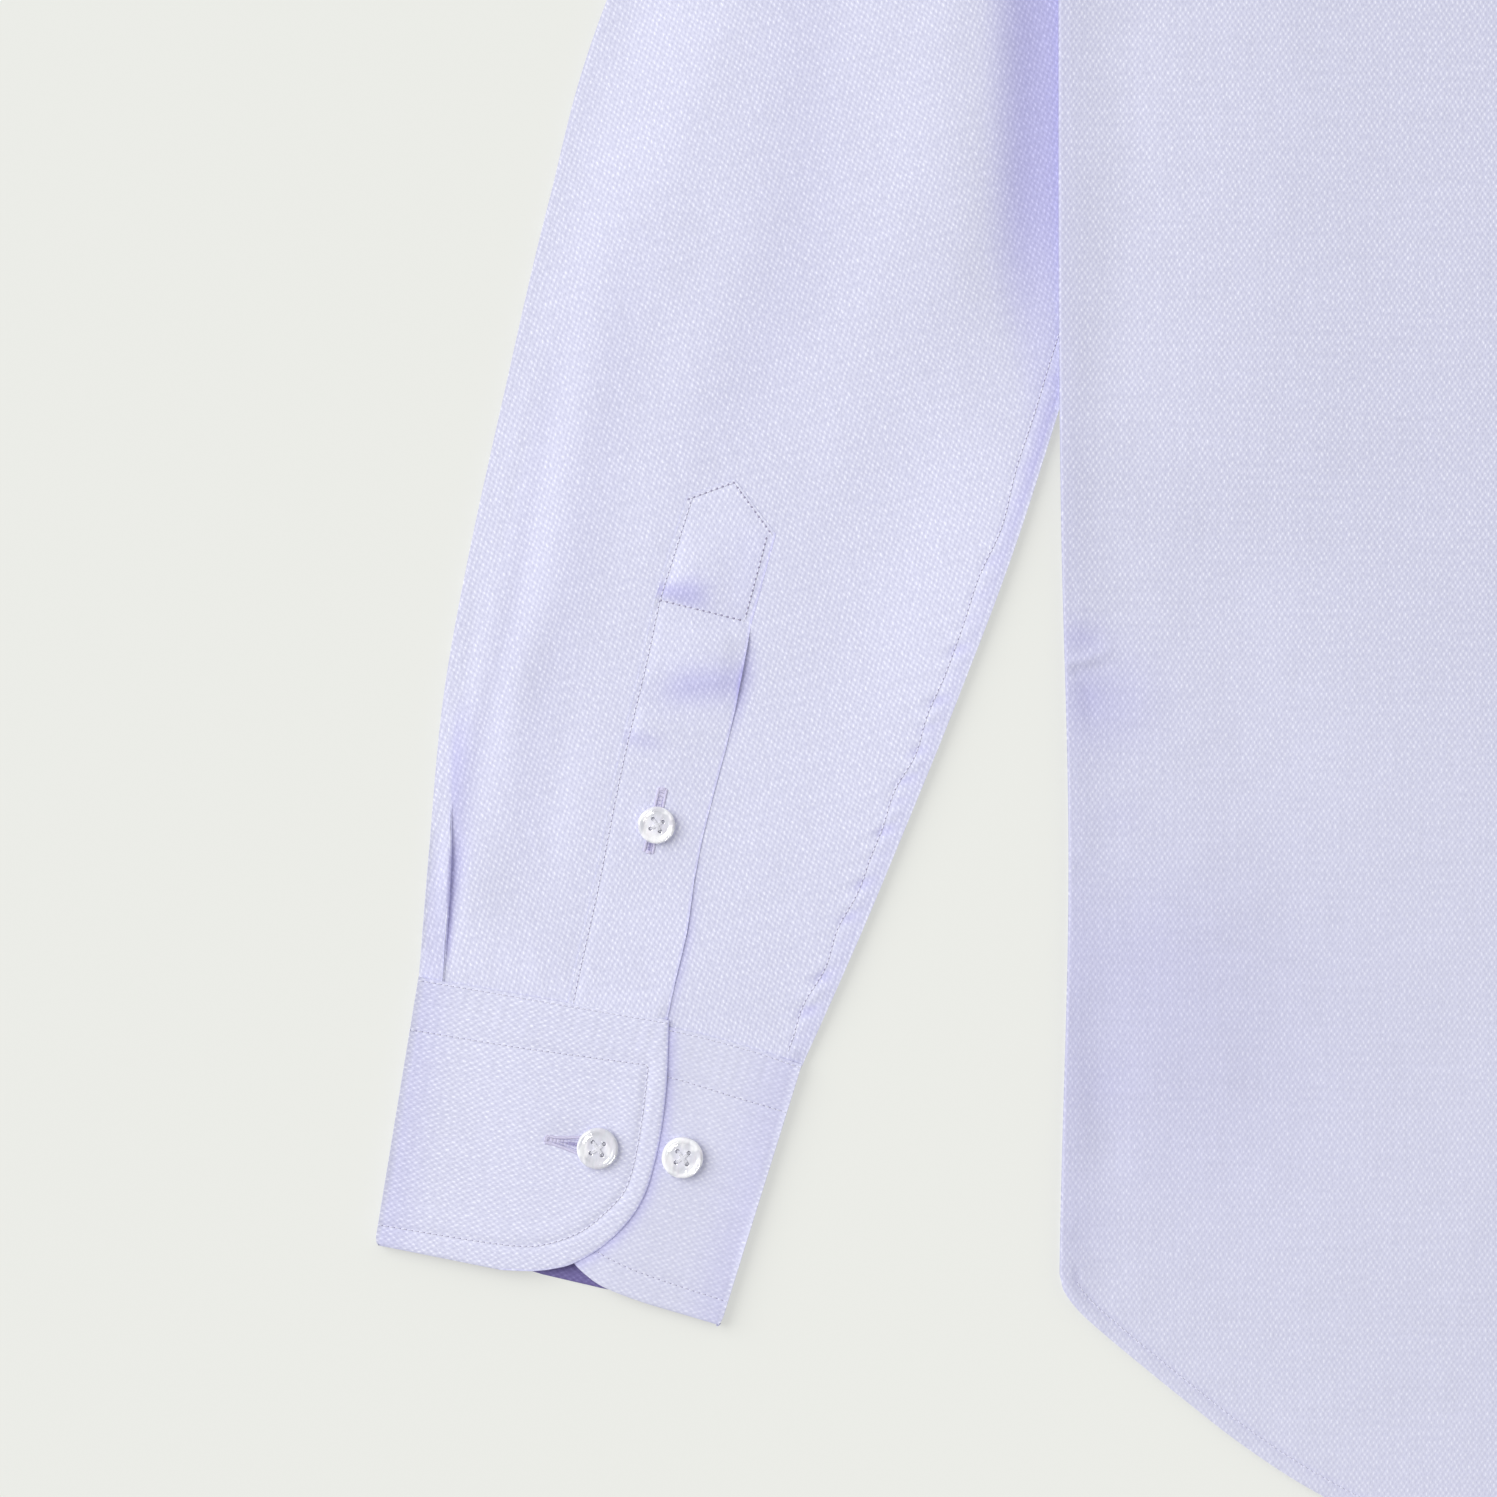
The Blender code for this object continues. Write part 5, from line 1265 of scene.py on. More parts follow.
HEM_WIDTH = 4.8
BODY_CREASES = (  # points, half width, depth
    (((-259.5, 170.6), (-252.0, 172.2), (-245.0, 175.2)), 1.3, -0.50),
    (((-256.0, 168.6), (-252.0, 169.0), (-246.0, 171.0)), 2.0, 0.20),
    (((-254.0, 180.0), (-249.0, 178.0), (-244.0, 179.0)), 2.8, 0.12),
    (((-252.8, 166.0), (-251.8, 161.0), (-250.0, 155.0)), 2.2, 0.24),
    (((-258.0, 122.0), (-243.0, 112.6), (-230.7, 105.3), (-221.5, 98.6), (-207.2, 93.0), (-190.0, 87.0)), 1.5, -0.30),
    (((-256.0, 115.0), (-241.0, 106.0), (-226.0, 98.0), (-206.0, 87.0)), 4.0, 0.28),
    (((-251.0, 78.0), (-247.0, 52.0), (-246.0, 28.0)), 7.0, 0.50),
    (((-255.5, 12.0), (-249.0, 5.0), (-241.0, 1.0)), 3.0, 0.35),
    (((-243.0, 357.0), (-240.0, 300.0), (-244.0, 250.0)), 9.0, 0.45),
    (((-215.0, 200.0), (-200.0, 120.0), (-196.0, 40.0)), 16.0, 0.5),
    (((-120.0, 420.0), (-132.0, 300.0), (-118.0, 170.0)), 14.0, 0.7),
    (((60.0, 470.0), (74.0, 350.0), (66.0, 220.0)), 12.0, 0.6),
    (((168.0, 330.0), (150.0, 220.0), (156.0, 90.0)), 15.0, 0.7),
    (((255.0, 150.0), (240.0, 144.0), (222.0, 146.0)), 3.0, 0.35),
    (((256.0, 96.0), (236.0, 84.0), (210.0, 80.0)), 2.2, -0.24),
)


def back_height(x, y):
    z = back_base(x, y) + PLY + sleeve_lift(x, y, SOFT_TUCK_X, SOFT_TUCK_SLOPE_X) - sleeve_lift(x, y)
    for line, half, depth in BODY_CREASES:
        z = z + dent(x, y, line, half, depth)
    inside = ease((HALF_CHEST - np.abs(x)) / 12.0)
    z = z + 0.16 * waves(x, y, 70.0, 21) * inside + 0.05 * waves(x, y, 22.0, 22) * inside
    # the side seams stand a little higher than the cloth beside them
    seam = bell(half_width(y) - np.abs(x), 8.5) * ease((ARMPIT_Y + 10.0 - y) / 30.0)
    return z + 0.85 * seam * ease((y + 30.0) / 40.0)


# soft spots of painted shade on the back
BODY_SHADES = (  # px, py of the middle, reach across and down, strength
    (1106.0, 702.0, 50.0, 50.0, 0.25),
    (1083.0, 637.0, 24.0, 15.0, 0.24),
    (1086.0, 695.0, 14.0, 22.0, 0.12),
    (1125.0, 950.0, 95.0, 70.0, 0.07),
    (1150.0, 1040.0, 190.0, 190.0, 0.15),
    (1105.0, 1085.0, 30.0, 34.0, 0.07),
    (1120.0, 815.0, 26.0, 20.0, 0.07),
    (1088.0, 1225.0, 26.0, 30.0, 0.05),
)


def back_painted_shade(x, y):
    painted_shade = 0.0 * x
    for px, py, across, down, amount in BODY_SHADES:
        cx, cy = photo_point(px, py)
        away = ((x - cx) / (across * PHOTO_MM)) ** 2 + ((y - cy) / (down * PHOTO_MM)) ** 2
        painted_shade = painted_shade + amount * np.exp(-away)
    from_side = half_width(y) - np.abs(x)
    # and painted shade along the side edges
    return painted_shade + 0.07 * bell(from_side, 8.0)


def hem_line(inset=0.0):
    """The curved hem from one side seam to the other, moved up by an inset."""
    x = np.sin(np.linspace(-np.pi / 2, np.pi / 2, 90)) * HALF_CHEST
    line = np.stack([x, hem_y(x)], axis=1)
    step = np.gradient(line, axis=0)
    step /= np.linalg.norm(step, axis=1, keepdims=True)
    return line + np.stack([-step[:, 1], step[:, 0]], axis=1) * inset


def body_grid(columns, top, half):
    """Points of a body panel: curved rows from the hem, level by its top, closer together near the hem."""
    climb = np.concatenate([np.linspace(0.0, 1.0, 14, endpoint=False) ** 1.3 * 0.035,
                            spaced((0.035, 0.198, 0.0065), (0.198, 0.238, 0.0020), (0.238, 0.296, 0.0058),
                                  (0.296, 0.328, 0.0018), (0.328, 1.0, 0.0085))])
    low = hem_y(columns)
    y = low + (top - low) * climb[:, None]
    edge = half(y[:, -1:])
    return edge * columns / HALF_CHEST, y


def edge_columns():
    """Distances from the centre line: close together towards the side seams and over the band."""
    half = np.concatenate([spaced((0.0, 190.0, 5.0), (190.0, 252.0, 2.0), (252.0, 258.0, 0.8)),
                           [258.6, 259.1, 259.5, 259.8, 260.0]])
    return np.concatenate([-half[:0:-1], half])


def back():
    columns = edge_columns()
    x, y = body_grid(columns, np.full_like(columns, YOKE_SEAM_Y + 5.0), half_width)
    z = back_height(x, y)
    stitch = hem_line(HEM_WIDTH)
    hem = hem_line()
    near = y < 14.0 + hem_y(np.clip(x, -HALF_CHEST, HALF_CHEST))
    d = np.where(near, from_line(x, y, hem), 50.0)
    d_stitch = np.where(near, from_line(x, y, stitch), 50.0)
    z = z + 0.30 * ease((HEM_WIDTH + 0.7 - d) / 0.8) - 0.26 * bell(d_stitch, 0.9)
    along = x * 0.8 + y * 0.6
    z = z + 0.09 * bell(d - 2.4, 1.6) * np.sin(along * 2 * np.pi / 5.2 + 1.3 * np.sin(along / 9.0))
    z = z - 1.0 * rounded(d, 1.5)
    from_side = half_width(y[:, -1:]) - np.abs(x)
    below_armpit = y < ARMPIT_Y
    z = z - np.where(below_armpit, 0.45 * rounded(from_side, 0.7), 0.5 * rounded(from_side, 1.2))
    tuck = ease((y - YOKE_SEAM_Y + 0.6) / 1.2)
    z = z - 0.62 * tuck
    # painted shade from the spots and along the hem's row of stitches; as a factor on the colour the back is painted
    # darker than the sleeves and darker towards the hem, lighter in a band some way in from each side seam, and
    # darker on the side edges' rounded rim
    painted_shade = back_painted_shade(x, y) + 0.09 * bell(d_stitch, 1.0)
    painted_light_beside_seam = 0.028 * bell(np.abs(x) - 214.0, 24.0) * ease((y - 180.0) / 90.0)
    tone_and_painted_light = BODY_PAINTED_SHADE - 0.022 * ease((225.0 - y) / 110.0) + painted_light_beside_seam
    tone_and_painted_light = tone_and_painted_light * (1.0 - 0.09 * bell(from_side, 0.9))
    calm = 0.06 + 0.24 * ease((230.0 - y) / 160.0)
    piece = shell("back", np.stack([x, y, z], axis=-1), (x, y), painted_shade=painted_shade, tone_and_painted_light=tone_and_painted_light, calm=calm)
    rows = [(stitch[2:-2], 0.5)] + armhole_rows(436.0, YOKE_SEAM_Y - 1.0)
    return piece, stitch_mesh("back_stitches", piece.name, rows)


def armhole_rows(low, high):
    y = np.linspace(low, high, 40)
    return [(np.stack([side * (half_width(y) - ARMHOLE_INSET), y], axis=1),) for side in (-1.0, 1.0)]


# the back's painted shade: it is darker than the sleeves
BODY_PAINTED_SHADE, ARMHOLE_INSET = 0.945, 7.0


def front(label, side, inner_x, base):
    half = np.concatenate([spaced((0.0, 190.0, 6.0), (190.0, 252.0, 3.0)), [255.0, 257.5, 259.0, 260.0]])
    nominal = np.concatenate([[inner_x], half[half > inner_x + 3.0]])
    climb = spaced((0.0, 0.06, 0.012), (0.06, 1.0, 0.0125))[:, None]
    edge_top = SHOULDER_Y - YOKE_WRAP
    at_top = inner_x + (half_width(edge_top) - inner_x) * (nominal - inner_x) / (HALF_CHEST - inner_x)
    top = np.minimum(shoulder_y(at_top) - YOKE_WRAP, neck_front_y(at_top)) - GAP
    low = hem_y(nominal)
    y = low + (top - low) * climb
    edge = half_width(y[:, -1:])
    x = inner_x + (edge - inner_x) * (nominal - inner_x) / (HALF_CHEST - inner_x)
    x = side * x
    return shell(f"front_{label}", np.stack([x, y, base(x, y) + CLOTH], axis=-1), (x, y))


def front_placket():
    across = np.linspace(-BAND_HALF, BAND_HALF, 9)
    climb = spaced((0.0, 1.0, 0.01))[:, None]
    low, top = hem_y(across), neck_front_y(across) - GAP
    y = low + (top - low) * climb
    x = np.broadcast_to(across, y.shape)
    z = left_front_base(x, y) + PLY - 0.1
    return shell("front_placket", np.stack([x, y, z], axis=-1), (x, y), thick=0.9)


def yoke():
    """The shoulder piece: over the upper back, round each shoulder and onto the fronts."""
    neck_share = NECK_X / SHOULDER_X
    half = np.concatenate([np.linspace(0.0, neck_share, 19)[:-1], np.linspace(neck_share, 1.0, 34)])
    shares = np.concatenate([-half[:0:-1], half])
    width = np.abs(shares) * SHOULDER_X
    over_shoulder = width > NECK_X - 0.01
    top = np.where(over_shoulder, shoulder_y(width), neck_back_y(width)) - FOLD_R
    rows = []
    for climb in np.concatenate([[0.0, 0.004, 0.009, 0.016, 0.025, 0.04], np.linspace(0.06, 1.0, 30)[:-1]]):
        y = YOKE_SEAM_Y + (top - YOKE_SEAM_Y) * climb
        x = shares * half_width(y)
        d = y - YOKE_SEAM_Y
        z = back_base(x, y) + PLY - 0.25 * rounded(d, 0.7) - 0.16 * bell(d - 1.8, 0.8)
        z = z + 0.10 * waves(x, y, 55.0, 31) * ease(d / 12.0)
        rows.append(np.stack([x, y, z], axis=-1))
    folded_x = shares * SHOULDER_X
    middle = left_front_base(folded_x, top) + FOLD_R
    flat_top = back_base(folded_x, top) + PLY
    for angle in np.radians(np.linspace(80.0, -90.0, 9)):
        z = np.where(over_shoulder, middle + FOLD_R * np.sin(angle), flat_top)
        rows.append(np.stack([folded_x, top + FOLD_R * np.cos(angle), z], axis=-1))
    turned_rows = 9
    for down in np.linspace(4.0, YOKE_WRAP, 8):
        neck_x = neck_front_x(NECK_Y - down) + NECK_SEAM
        spread = (np.abs(shares) - neck_share) / (1.0 - neck_share)
        x = np.sign(shares) * (neck_x + (half_width(SHOULDER_Y - down) - neck_x) * spread)
        y = shoulder_y(x) - down
        rows.append(np.stack([x, y, left_front_base(x, y)], axis=-1))
    outside = np.array(rows)
    present = np.ones((len(rows) - 1, len(shares) - 1), dtype=bool)
    off_neck = np.abs(shares[:-1] + shares[1:]) > 2 * neck_share - 0.001
    first_turned = len(rows) - turned_rows - 8
    present[first_turned:, :] = over_shoulder[:-1] & over_shoulder[1:] & off_neck
    piece = shell("yoke", outside, rotated(outside[..., 0], outside[..., 1], np.pi / 2), present=present)
    seam = np.stack([np.linspace(-218.0, 218.0, 90), np.full(90, YOKE_SEAM_Y + 1.8)], axis=1)
    rows = [(seam,)] + armhole_rows(YOKE_SEAM_Y + 4.0, SHOULDER_Y - 6.0)
    return piece, stitch_mesh("yoke_stitches", piece.name, rows)


# ---------------------------------------------------------------- collar


def folded_side(side, x, y, middle, fold_r, angles):
    points = []
    for angle in angles:
        points.append([side * (x - fold_r * (1.0 - np.cos(angle))), y, middle + fold_r * np.sin(angle)])
    return np.array(points)


def laid(x, y, z):
    return np.stack([x, y, z + 0.0 * x], axis=-1)


def collar_stand():
    rows = []
    angles = np.radians(np.linspace(65.0, -65.0, 7))
    for climb in np.concatenate([[0.0, 0.03, 0.07], np.linspace(0.12, 0.96, 16)]):
        side_x = NECK_X - STAND_TAPER * climb
        side_y = NECK_Y + GAP + (STAND_HEIGHT - GAP) * climb
        share = np.linspace(-0.965, 0.965, 61)
        x = share * side_x
        back_y = side_y - NECK_BACK_DIP * (1.0 - share**2)
        front_y = side_y - NECK_FRONT_DIP * (1.0 - np.abs(share) ** NECK_FRONT_POWER)
        middle = left_front_base(side_x, side_y) + FOLD_R
        low_edge = 0.35 * rounded(np.array([climb * STAND_HEIGHT]), 0.8)[0]
        rows.append(np.concatenate([
            laid(x, back_y, back_base(x, back_y) + PLY - low_edge),
            folded_side(1.0, side_x, side_y, middle, FOLD_R, angles),
            laid(x, front_y, left_front_base(x, front_y))[::-1],
            folded_side(-1.0, side_x, side_y, middle, FOLD_R, angles[::-1]),
        ]))
    outside = np.array(rows)
    grain = rotated(outside[..., 0], outside[..., 1], np.pi / 2)
    return shell("collar_stand", outside, grain, thick=0.9, ring=True)


LEAF_FRONT, LEAF_FOLD, LEAF_ACROSS = 26, 9, 61  # points of a row: on each front, round each fold and over the back
LEAF_STITCH = 6.0  # distance of the stitches from the leaf's edge


def leaf_row(down):
    side_x = NECK_X - STAND_TAPER + STEP_UP + LEAF_FLARE * down
    side_y = COLLAR_TOP_Y - STAND_HEIGHT * down
    edge_x = LEAF_GAP_HALF + (LEAF_POINT_X - LEAF_GAP_HALF) * down
    edge_y = COLLAR_TOP_Y - NECK_FRONT_DIP - LEAF_POINT_DROP * down
    back_y = COLLAR_TOP_Y - NECK_BACK_DIP - LEAF_BACK * down
    along = np.linspace(0.0, 0.92, LEAF_FRONT)
    front_x = edge_x + (side_x - edge_x) * along
    front_y = edge_y + (side_y - edge_y) * along ** (NECK_FRONT_POWER - 2.0 * down)
    share = np.linspace(-0.955, 0.955, LEAF_ACROSS)
    x = share * side_x
    y = side_y - (side_y - back_y) * (1.0 - share**2)
    fold_r = (back_base(side_x, side_y) + STEP_UP + PLY) / 2.0
    angles = np.radians(np.linspace(62.0, -62.0, LEAF_FOLD))
    return np.concatenate([
        laid(-front_x, front_y, 0.0),
        folded_side(-1.0, side_x, side_y, fold_r, fold_r, angles[::-1]),
        laid(x, y, back_base(x, y) + STEP_UP + PLY),
        folded_side(1.0, side_x, side_y, fold_r, fold_r, angles),
        laid(front_x[::-1], front_y[::-1], 0.0),
    ])


def collar_leaf():
    downs = np.concatenate([[0.0, 0.02, 0.05], np.linspace(0.1, 0.9, 17), [0.93, 0.96, 0.98, 0.99, 1.0]])
    outside = np.array([leaf_row(down) for down in downs])
    back_part = slice(LEAF_FRONT + LEAF_FOLD, LEAF_FRONT + LEAF_FOLD + LEAF_ACROSS)
    height = outside[:, back_part, 2]
    d_low = (1.0 - downs)[:, None] * LEAF_BACK
    d_top = downs[:, None] * LEAF_BACK
    height = height - 0.45 * rounded(d_low, 0.9) - 0.9 * rounded(d_top, 2.4)
    height = height - 0.16 * bell(d_low - LEAF_STITCH, 0.9)
    outside[:, back_part, 2] = height
    grain = rotated(outside[..., 0], outside[..., 1], np.pi / 2)
    thick = 0.9 - 0.4 * rounded(np.minimum(d_low, d_top), 0.9) * np.ones(outside.shape[:2])
    piece = shell("collar_leaf", outside, grain, thick=thick)
    row = leaf_row(1.0 - LEAF_STITCH / LEAF_BACK)[back_part][2:-2, :2]
    return piece, stitch_mesh("collar_stitches", piece.name, [(row,)])


# ---------------------------------------------------------------- buttons and buttonholes

BUTTON_RINGS = (  # radius as a share, height as a share of the button's thickness
    (0.565, 0.80), (0.605, 0.805), (0.645, 0.82), (0.685, 0.845), (0.725, 0.88), (0.765, 0.91), (0.805, 0.935),
    (0.845, 0.945), (0.885, 0.94), (0.925, 0.905), (0.96, 0.835), (0.987, 0.72), (1.0, 0.56), (0.99, 0.40),
    (0.95, 0.24), (0.90, 0.11), (0.84, 0.03), (0.78, 0.0),
)
BUTTON_SIDES, HOLE_SIDES = 56, 16
PEARLS = []


def circle(bm, radius, z, sides, centre=(0.0, 0.0)):
    angles = 2.0 * np.pi * np.arange(sides) / sides
    return [bm.verts.new((centre[0] + radius * np.cos(a), centre[1] + radius * np.sin(a), z)) for a in angles]


def bridge(bm, first, second):
    count = len(first)
    for k in range(count):
        bm.faces.new((first[k], first[(k + 1) % count], second[(k + 1) % count], second[k]))


def ring_edges(bm, ring):
    return [bm.edges.get((a, b)) or bm.edges.new((a, b)) for a, b in zip(ring, ring[1:] + ring[:1])]


def button(name, node, x, y, base, radius, turn, face_up=True, tilt=(0.0, 0.0)):
    """A four-hole shell button: rolled rim, dished middle and eased holes."""
    bm = bmesh.new()
    size = radius / CUFF_BUTTON_R
    rings = [circle(bm, radius * share, BUTTON_HEIGHT * high, BUTTON_SIDES) for share, high in BUTTON_RINGS]
    for first, second in zip(rings, rings[1:]):
        bridge(bm, first, second)
    tops, lows = [], []
    plane = BUTTON_HEIGHT * BUTTON_RINGS[0][1]
    for k in range(4):
        angle = np.pi / 4 + k * np.pi / 2
        centre = (size * HOLE_CIRCLE * np.cos(angle), size * HOLE_CIRCLE * np.sin(angle))
        levels = [(1.42, plane), (1.18, plane - 0.05), (1.03, plane - 0.16), (1.0, plane - 0.34), (1.0, 0.25),
                  (1.2, 0.0)]
        loops = [circle(bm, r * size * HOLE_R, z, HOLE_SIDES, centre) for r, z in levels]
        for first, second in zip(loops, loops[1:]):
            bridge(bm, first, second)
        tops.append(loops[0])
        lows.append(loops[-1])
    for rim, holes in ((rings[0], tops), (rings[-1], lows)):
        edges = ring_edges(bm, rim)
        for hole in holes:
            edges += ring_edges(bm, hole)
        bmesh.ops.triangle_fill(bm, edges=edges, use_beauty=True)
    bmesh.ops.recalc_face_normals(bm, faces=bm.faces)
    mesh = bpy.data.meshes.new(name)
    bm.to_mesh(mesh)
    bm.free()
    points = np.zeros(len(mesh.vertices) * 3)
    mesh.vertices.foreach_get("co", points)
    points = points.reshape(-1, 3)
    disc = points / np.array([radius, radius, BUTTON_HEIGHT]) + np.array([0.0, 0.0, float(len(PEARLS))])
    PEARLS.append(name)
    write_vectors(mesh, "disc", disc)
    points = placed(points, x, y, base, turn, face_up, tilt)
    mesh.vertices.foreach_set("co", to_row(points).ravel())
    mesh.shade_smooth()
    mesh.set_sharp_from_angle(angle=np.radians(50.0))
    mesh.materials.append(PEARL_MAT)
    return place(linked(name, mesh), node, slot="button")


def placed(points, x, y, base, turn, face_up, tilt):
    """Points of a button turned, leaned a little, turned over if it lies face down, and moved to its place."""
    px, py = rotated(points[:, 0], points[:, 1], -turn)
    z = points[:, 2] + tilt[0] * px + tilt[1] * py
    if not face_up:
        z = BUTTON_HEIGHT - z
        py = -py
    return np.stack([px + x, py + y, z + base], axis=1)


def button_thread(name, x, y, base, radius, turn, face_up=True, tilt=(0.0, 0.0)):
    """The sewing thread that crosses between a button's holes."""
    beads = Beads()
    plane = BUTTON_HEIGHT * BUTTON_RINGS[0][1]
    for k in range(4):
        angle = np.pi / 4 + k * np.pi / 2
        spot = np.array([HOLE_CIRCLE * np.cos(angle), HOLE_CIRCLE * np.sin(angle), plane - 0.95])
        beads.put(THREAD_BEAD, spot, (1.0, 0.0, 0.0), (0.0, 0.0, 1.0), (HOLE_R * 0.96, HOLE_R * 0.90, 0.28), 0)
    for k in range(2):
        angle = np.pi / 4 + k * np.pi / 2
        direction = np.array([np.cos(angle), np.sin(angle), 0.0])
        across = np.array([-direction[1], direction[0], 0.0])
        for offset in (-0.30, 0.0, 0.30):
            centre = across * offset + np.array([0.0, 0.0, plane + 0.16 + 0.10 * k])
            beads.put(THREAD_BEAD, centre, direction, (0.0, 0.0, 1.0), (HOLE_CIRCLE + 0.25, 0.17, 0.20), 0)
    size = radius / CUFF_BUTTON_R
    verts = placed(np.concatenate(beads.verts) * np.array([size, size, 1.0]), x, y, base, turn, face_up, tilt)
    obj = finish_mesh(name, verts, beads.faces, [BUTTON_THREAD_MAT], None, sharp=None)
    return place(obj)


BUTTON_THREAD_MAT = thread_material("button_thread", (0.86, 0.86, 0.93, 1.0))


def buttonhole(name, surface, line, side, width, open_end):
    """Two lips of close satin stitches round a slit of painted shade, with a bar across each end."""
    line = np.asarray(flipped_line(line, side), dtype=float)
    start, end = line[0], line[-1]
    length = np.linalg.norm(end - start)
    along = (end - start) / length
    across = np.array([-along[1], along[0]])
    beads = Beads()

    def lay(template, share, aside, direction, lift, size, slot=0):
        """A strand at a share of the hole's length and a distance beside it."""
        beads.lay(template, surface, start + along * length * share + across * aside, direction, lift, size, slot)

    # strands that fan out along the hole; some take the slit's dark material as painted shade
    for k in np.linspace(-1.0, 1.0, 11):
        for share in np.linspace(0.03, 0.97, 16):
            size = (length / 26, 0.13 + 0.03 * np.sin(5.0 * k + 3.0 * share), 0.12)
            dark = abs(k) < 0.3 * ease((share - 0.25) / 0.2) or abs(abs(k) - 0.62) < 0.15 * share
            aside = (width + open_end * ease((share - 0.05) / 0.8)) * k
            lay(THREAD_BEAD, share, aside, along + across * (k * open_end / length * 1.2), 0.05, size, int(dark))
    # the lips
    for share in np.arange(int(length / 0.34) + 1) / int(length / 0.34):
        for lip in (-1.0, 1.0):
            aside = lip * (width + open_end * ease((share - 0.05) / 0.8))
            lay(THREAD_BEAD, share, aside, across + 0.12 * lip * along, 0.10, (0.50, 0.21, 0.20))
    # the bars, and the slit itself as dark beads of painted shade
    for share in (0.0, 1.0):
        for offset in np.linspace(-0.28, 0.28, 3):
            beads.lay(THREAD_BEAD, surface, start + along * (length * share + offset), across, 0.16,
                      (0.95, 0.20, 0.22), 0)
    for share in np.linspace(0.06, 0.94, 24):
        size = (length / 26, 0.14 + 0.30 * open_end * ease((share - 0.25) / 0.5), 0.05)
        lay(SHADE_BEAD, share, 0.0, along, 0.02, size, 1)
    return beads.make(name, [BUTTONHOLE_MAT, SLIT_SHADE_MAT])


def sleeve_buttons(label, side):
    x, y = sleeve_plan(PLACKET_BUTTON[0], PLACKET_BUTTON[1], overlap_seam_y)
    for node, cloth, bx, by, radius, turn in (
        (f"cuff_button_{label}_1", f"cuff_{label}_cloth", *CUFF_BUTTON_OVER, CUFF_BUTTON_R, -10.0),
        (f"cuff_button_{label}_2", f"cuff_{label}_cloth", *CUFF_BUTTON_UNDER, CUFF_BUTTON_R, -9.0),
        (f"placket_button_{label}", f"sleeve_placket_{label}_cloth", float(x), float(y), PLACKET_BUTTON_R, -16.0),
    ):
        level = settle(cloth, side * bx, by)[0][2] - 0.05
        where = (side * bx, by, level, radius * 1.03, -side * np.radians(turn))
        button(f"{node}_shell", node, *where, tilt=(0.025 * side, 0.02))
        button_thread(f"{node}_thread", *where, tilt=(0.025 * side, 0.02))
    buttonhole(f"cuff_{label}_buttonhole", f"cuff_{label}_cloth", CUFF_HOLE, side, 0.95, 1.9)
    buttonhole(f"placket_{label}_buttonhole", f"sleeve_placket_{label}_cloth", PLACKET_HOLE, side, 1.10, 0.10)


def front_buttons():
    for number, y in enumerate(FRONT_BUTTON_Y + (COLLAR_BUTTON_Y,), start=1):
        where = (0.0, y, float(left_front_base(0.0, y)) - GAP - BUTTON_HEIGHT, CUFF_BUTTON_R, 0.0)
        node = f"front_button_{number}" if number <= len(FRONT_BUTTON_Y) else "collar_button"
        button(f"{node}_shell", node, *where, face_up=False)
        button_thread(f"{node}_thread", *where, face_up=False)


# ---------------------------------------------------------------- scene


def make_shirt():
    made = {}
    made["back"] = back()
    made["yoke"] = yoke()
    made["front_left"] = (front("left", -1.0, BAND_HALF + GAP, left_front_base), None)
    made["front_right"] = (front("right", 1.0, RIGHT_EDGE_X, right_front_base), None)
    made["front_placket"] = (front_placket(), None)
    made["collar_stand"] = (collar_stand(), None)
    made["collar_leaf"] = collar_leaf()
    for label, side, folds in (("left", -1.0, SLEEVE_FOLDS), ("right", 1.0, RIGHT_FOLDS)):
        made[f"sleeve_{label}"] = sleeve(label, side, label == "left", folds)
        made[f"sleeve_placket_{label}"] = sleeve_placket(label, side, folds)
        made[f"sleeve_underlap_{label}"] = (sleeve_underlap(label, side, folds), None)
        made[f"cuff_{label}"] = cuff(label, side)
        sleeve_buttons(label, side)
    front_buttons()
    return made


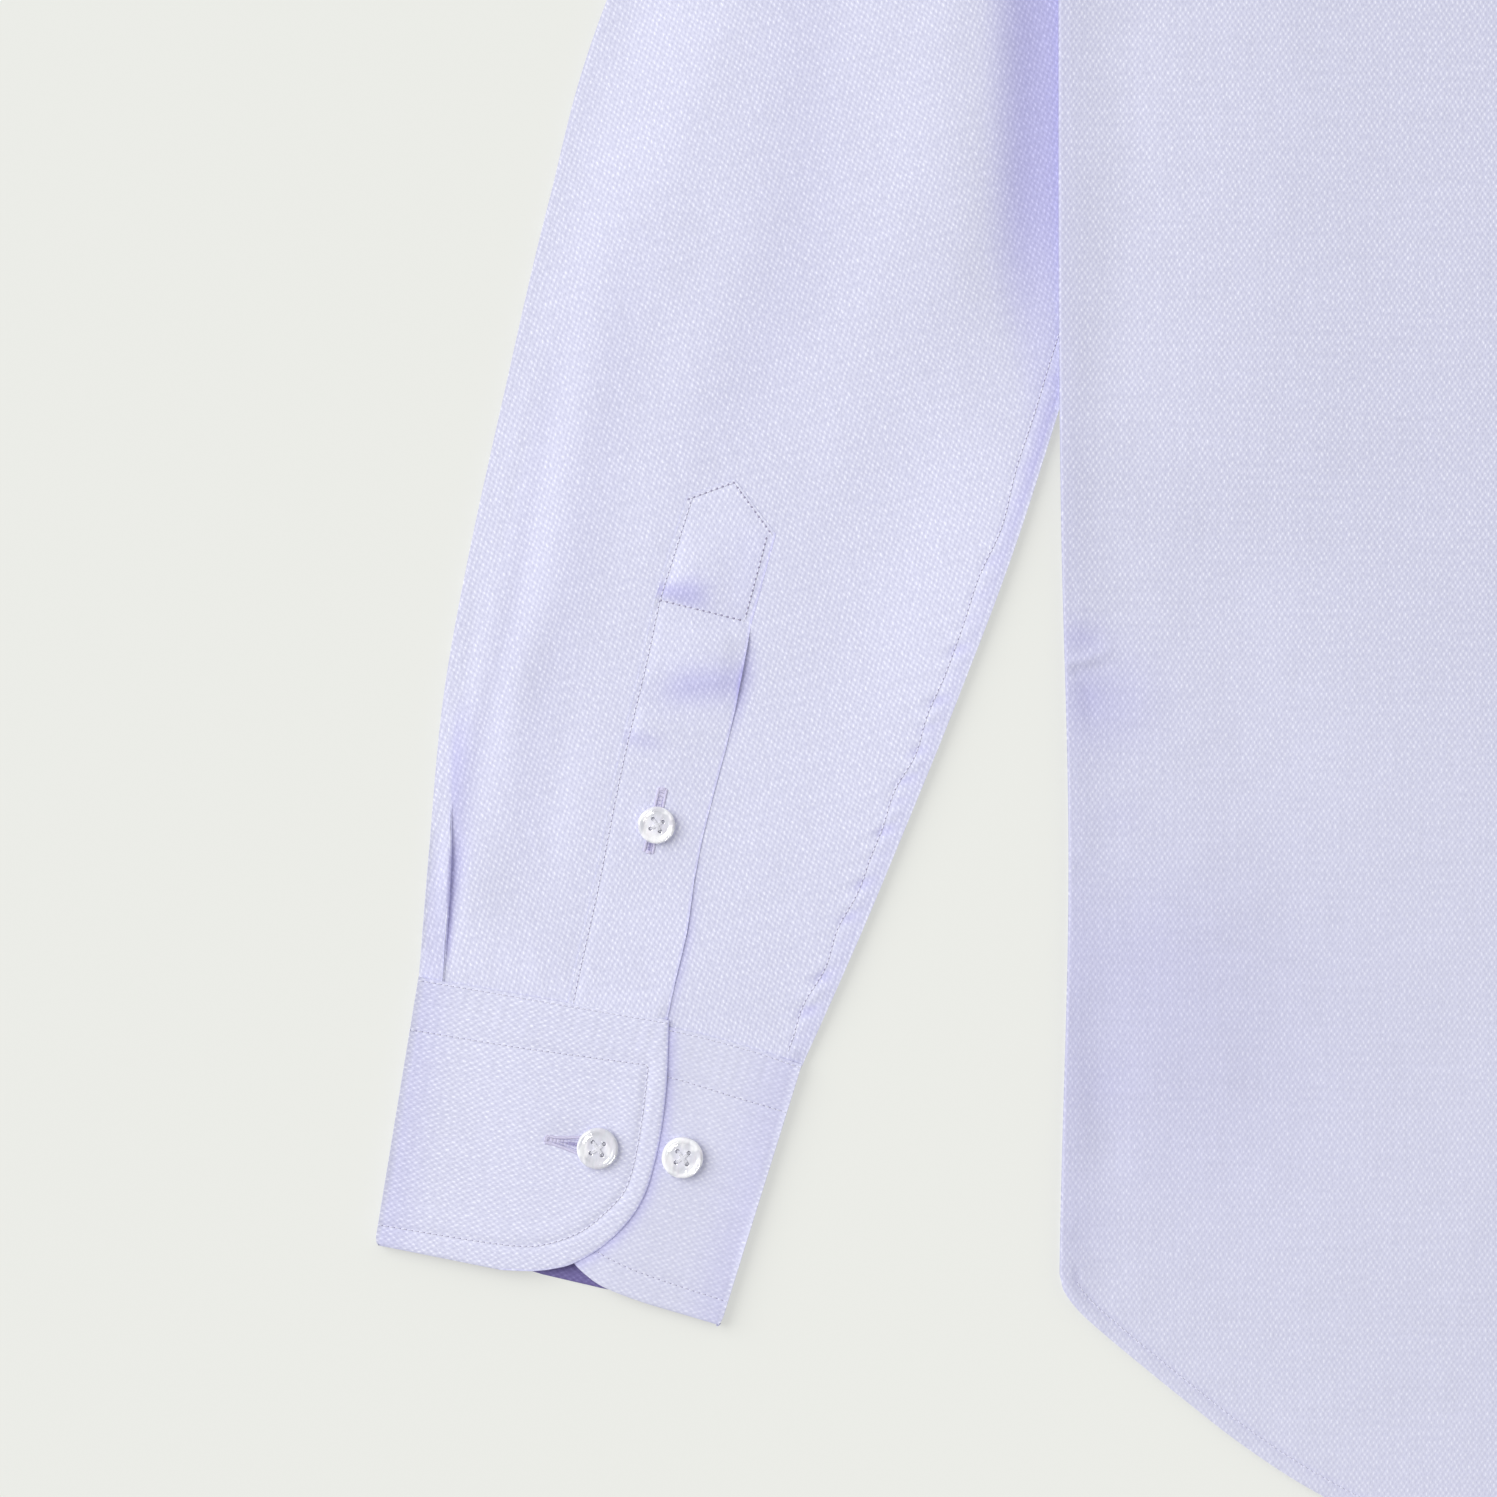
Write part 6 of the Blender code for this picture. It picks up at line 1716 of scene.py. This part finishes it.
def studio():
    bpy.ops.mesh.primitive_grid_add(size=6.0, x_subdivisions=12, y_subdivisions=12, location=(0.0, 0.0, FLOOR_Z))
    floor = bpy.context.object
    floor.name = "floor"
    floor.data.materials.append(floor_material("studio_floor"))
    sun = bpy.data.lights.new("key", "SUN")
    sun.energy = SUN_POWER
    sun.angle = np.radians(SUN_SPREAD)
    linked("key", sun).rotation_euler = Vector(SUN_FROM).to_track_quat("Z", "Y").to_euler()
    for number, (spot, power, size) in enumerate(GLINTS, start=1):
        area = bpy.data.lights.new(f"glint_{number}", "AREA")
        area.energy, area.size = power, size
        light = linked(f"glint_{number}", area)
        light.location = spot
        light.rotation_euler = (Vector(spot) - Vector(GLINTS_MEET)).to_track_quat("Z", "Y").to_euler()
        light.visible_diffuse = False
    world = bpy.data.worlds.new("studio")
    world.use_nodes = True
    background = world.node_tree.nodes["Background"]
    background.inputs["Color"].default_value = (1.0, 1.0, 1.0, 1.0)
    background.inputs["Strength"].default_value = SKY_POWER
    bpy.context.scene.world = world
    camera = bpy.data.cameras.new("camera")
    camera.lens = 100.0
    camera.sensor_width = 36.0
    camera.clip_end = 50.0
    eye = linked("camera", camera)
    eye.location = (*PHOTO_MIDDLE, FIELD * camera.lens / camera.sensor_width + CLOTH_LEVEL)
    bpy.context.scene.camera = eye
    bpy.context.scene.view_settings.view_transform = "Standard"


SUN_POWER, SUN_FROM, SUN_SPREAD, SKY_POWER = 2.35, (-0.75, 0.38, 0.62), 55.0, 0.60
# In metres: the point that the camera looks down on, how wide a field it sees, and the height that it sees it at.
PHOTO_MIDDLE, FIELD, CLOTH_LEVEL = (-0.3468, -0.1591), 0.41916, 0.003
FLOOR_Z = -0.0001  # just under the cloth

# Small soft lights that only gloss shows: the window glints on the shell buttons.
GLINTS = (((-0.80, 0.15, 0.75), 9.0, 0.30), ((0.05, -0.75, 0.70), 6.0, 0.30))  # place, power, size
GLINTS_MEET = (-0.38, -0.27, 0.0)

made = make_shirt()
studio()
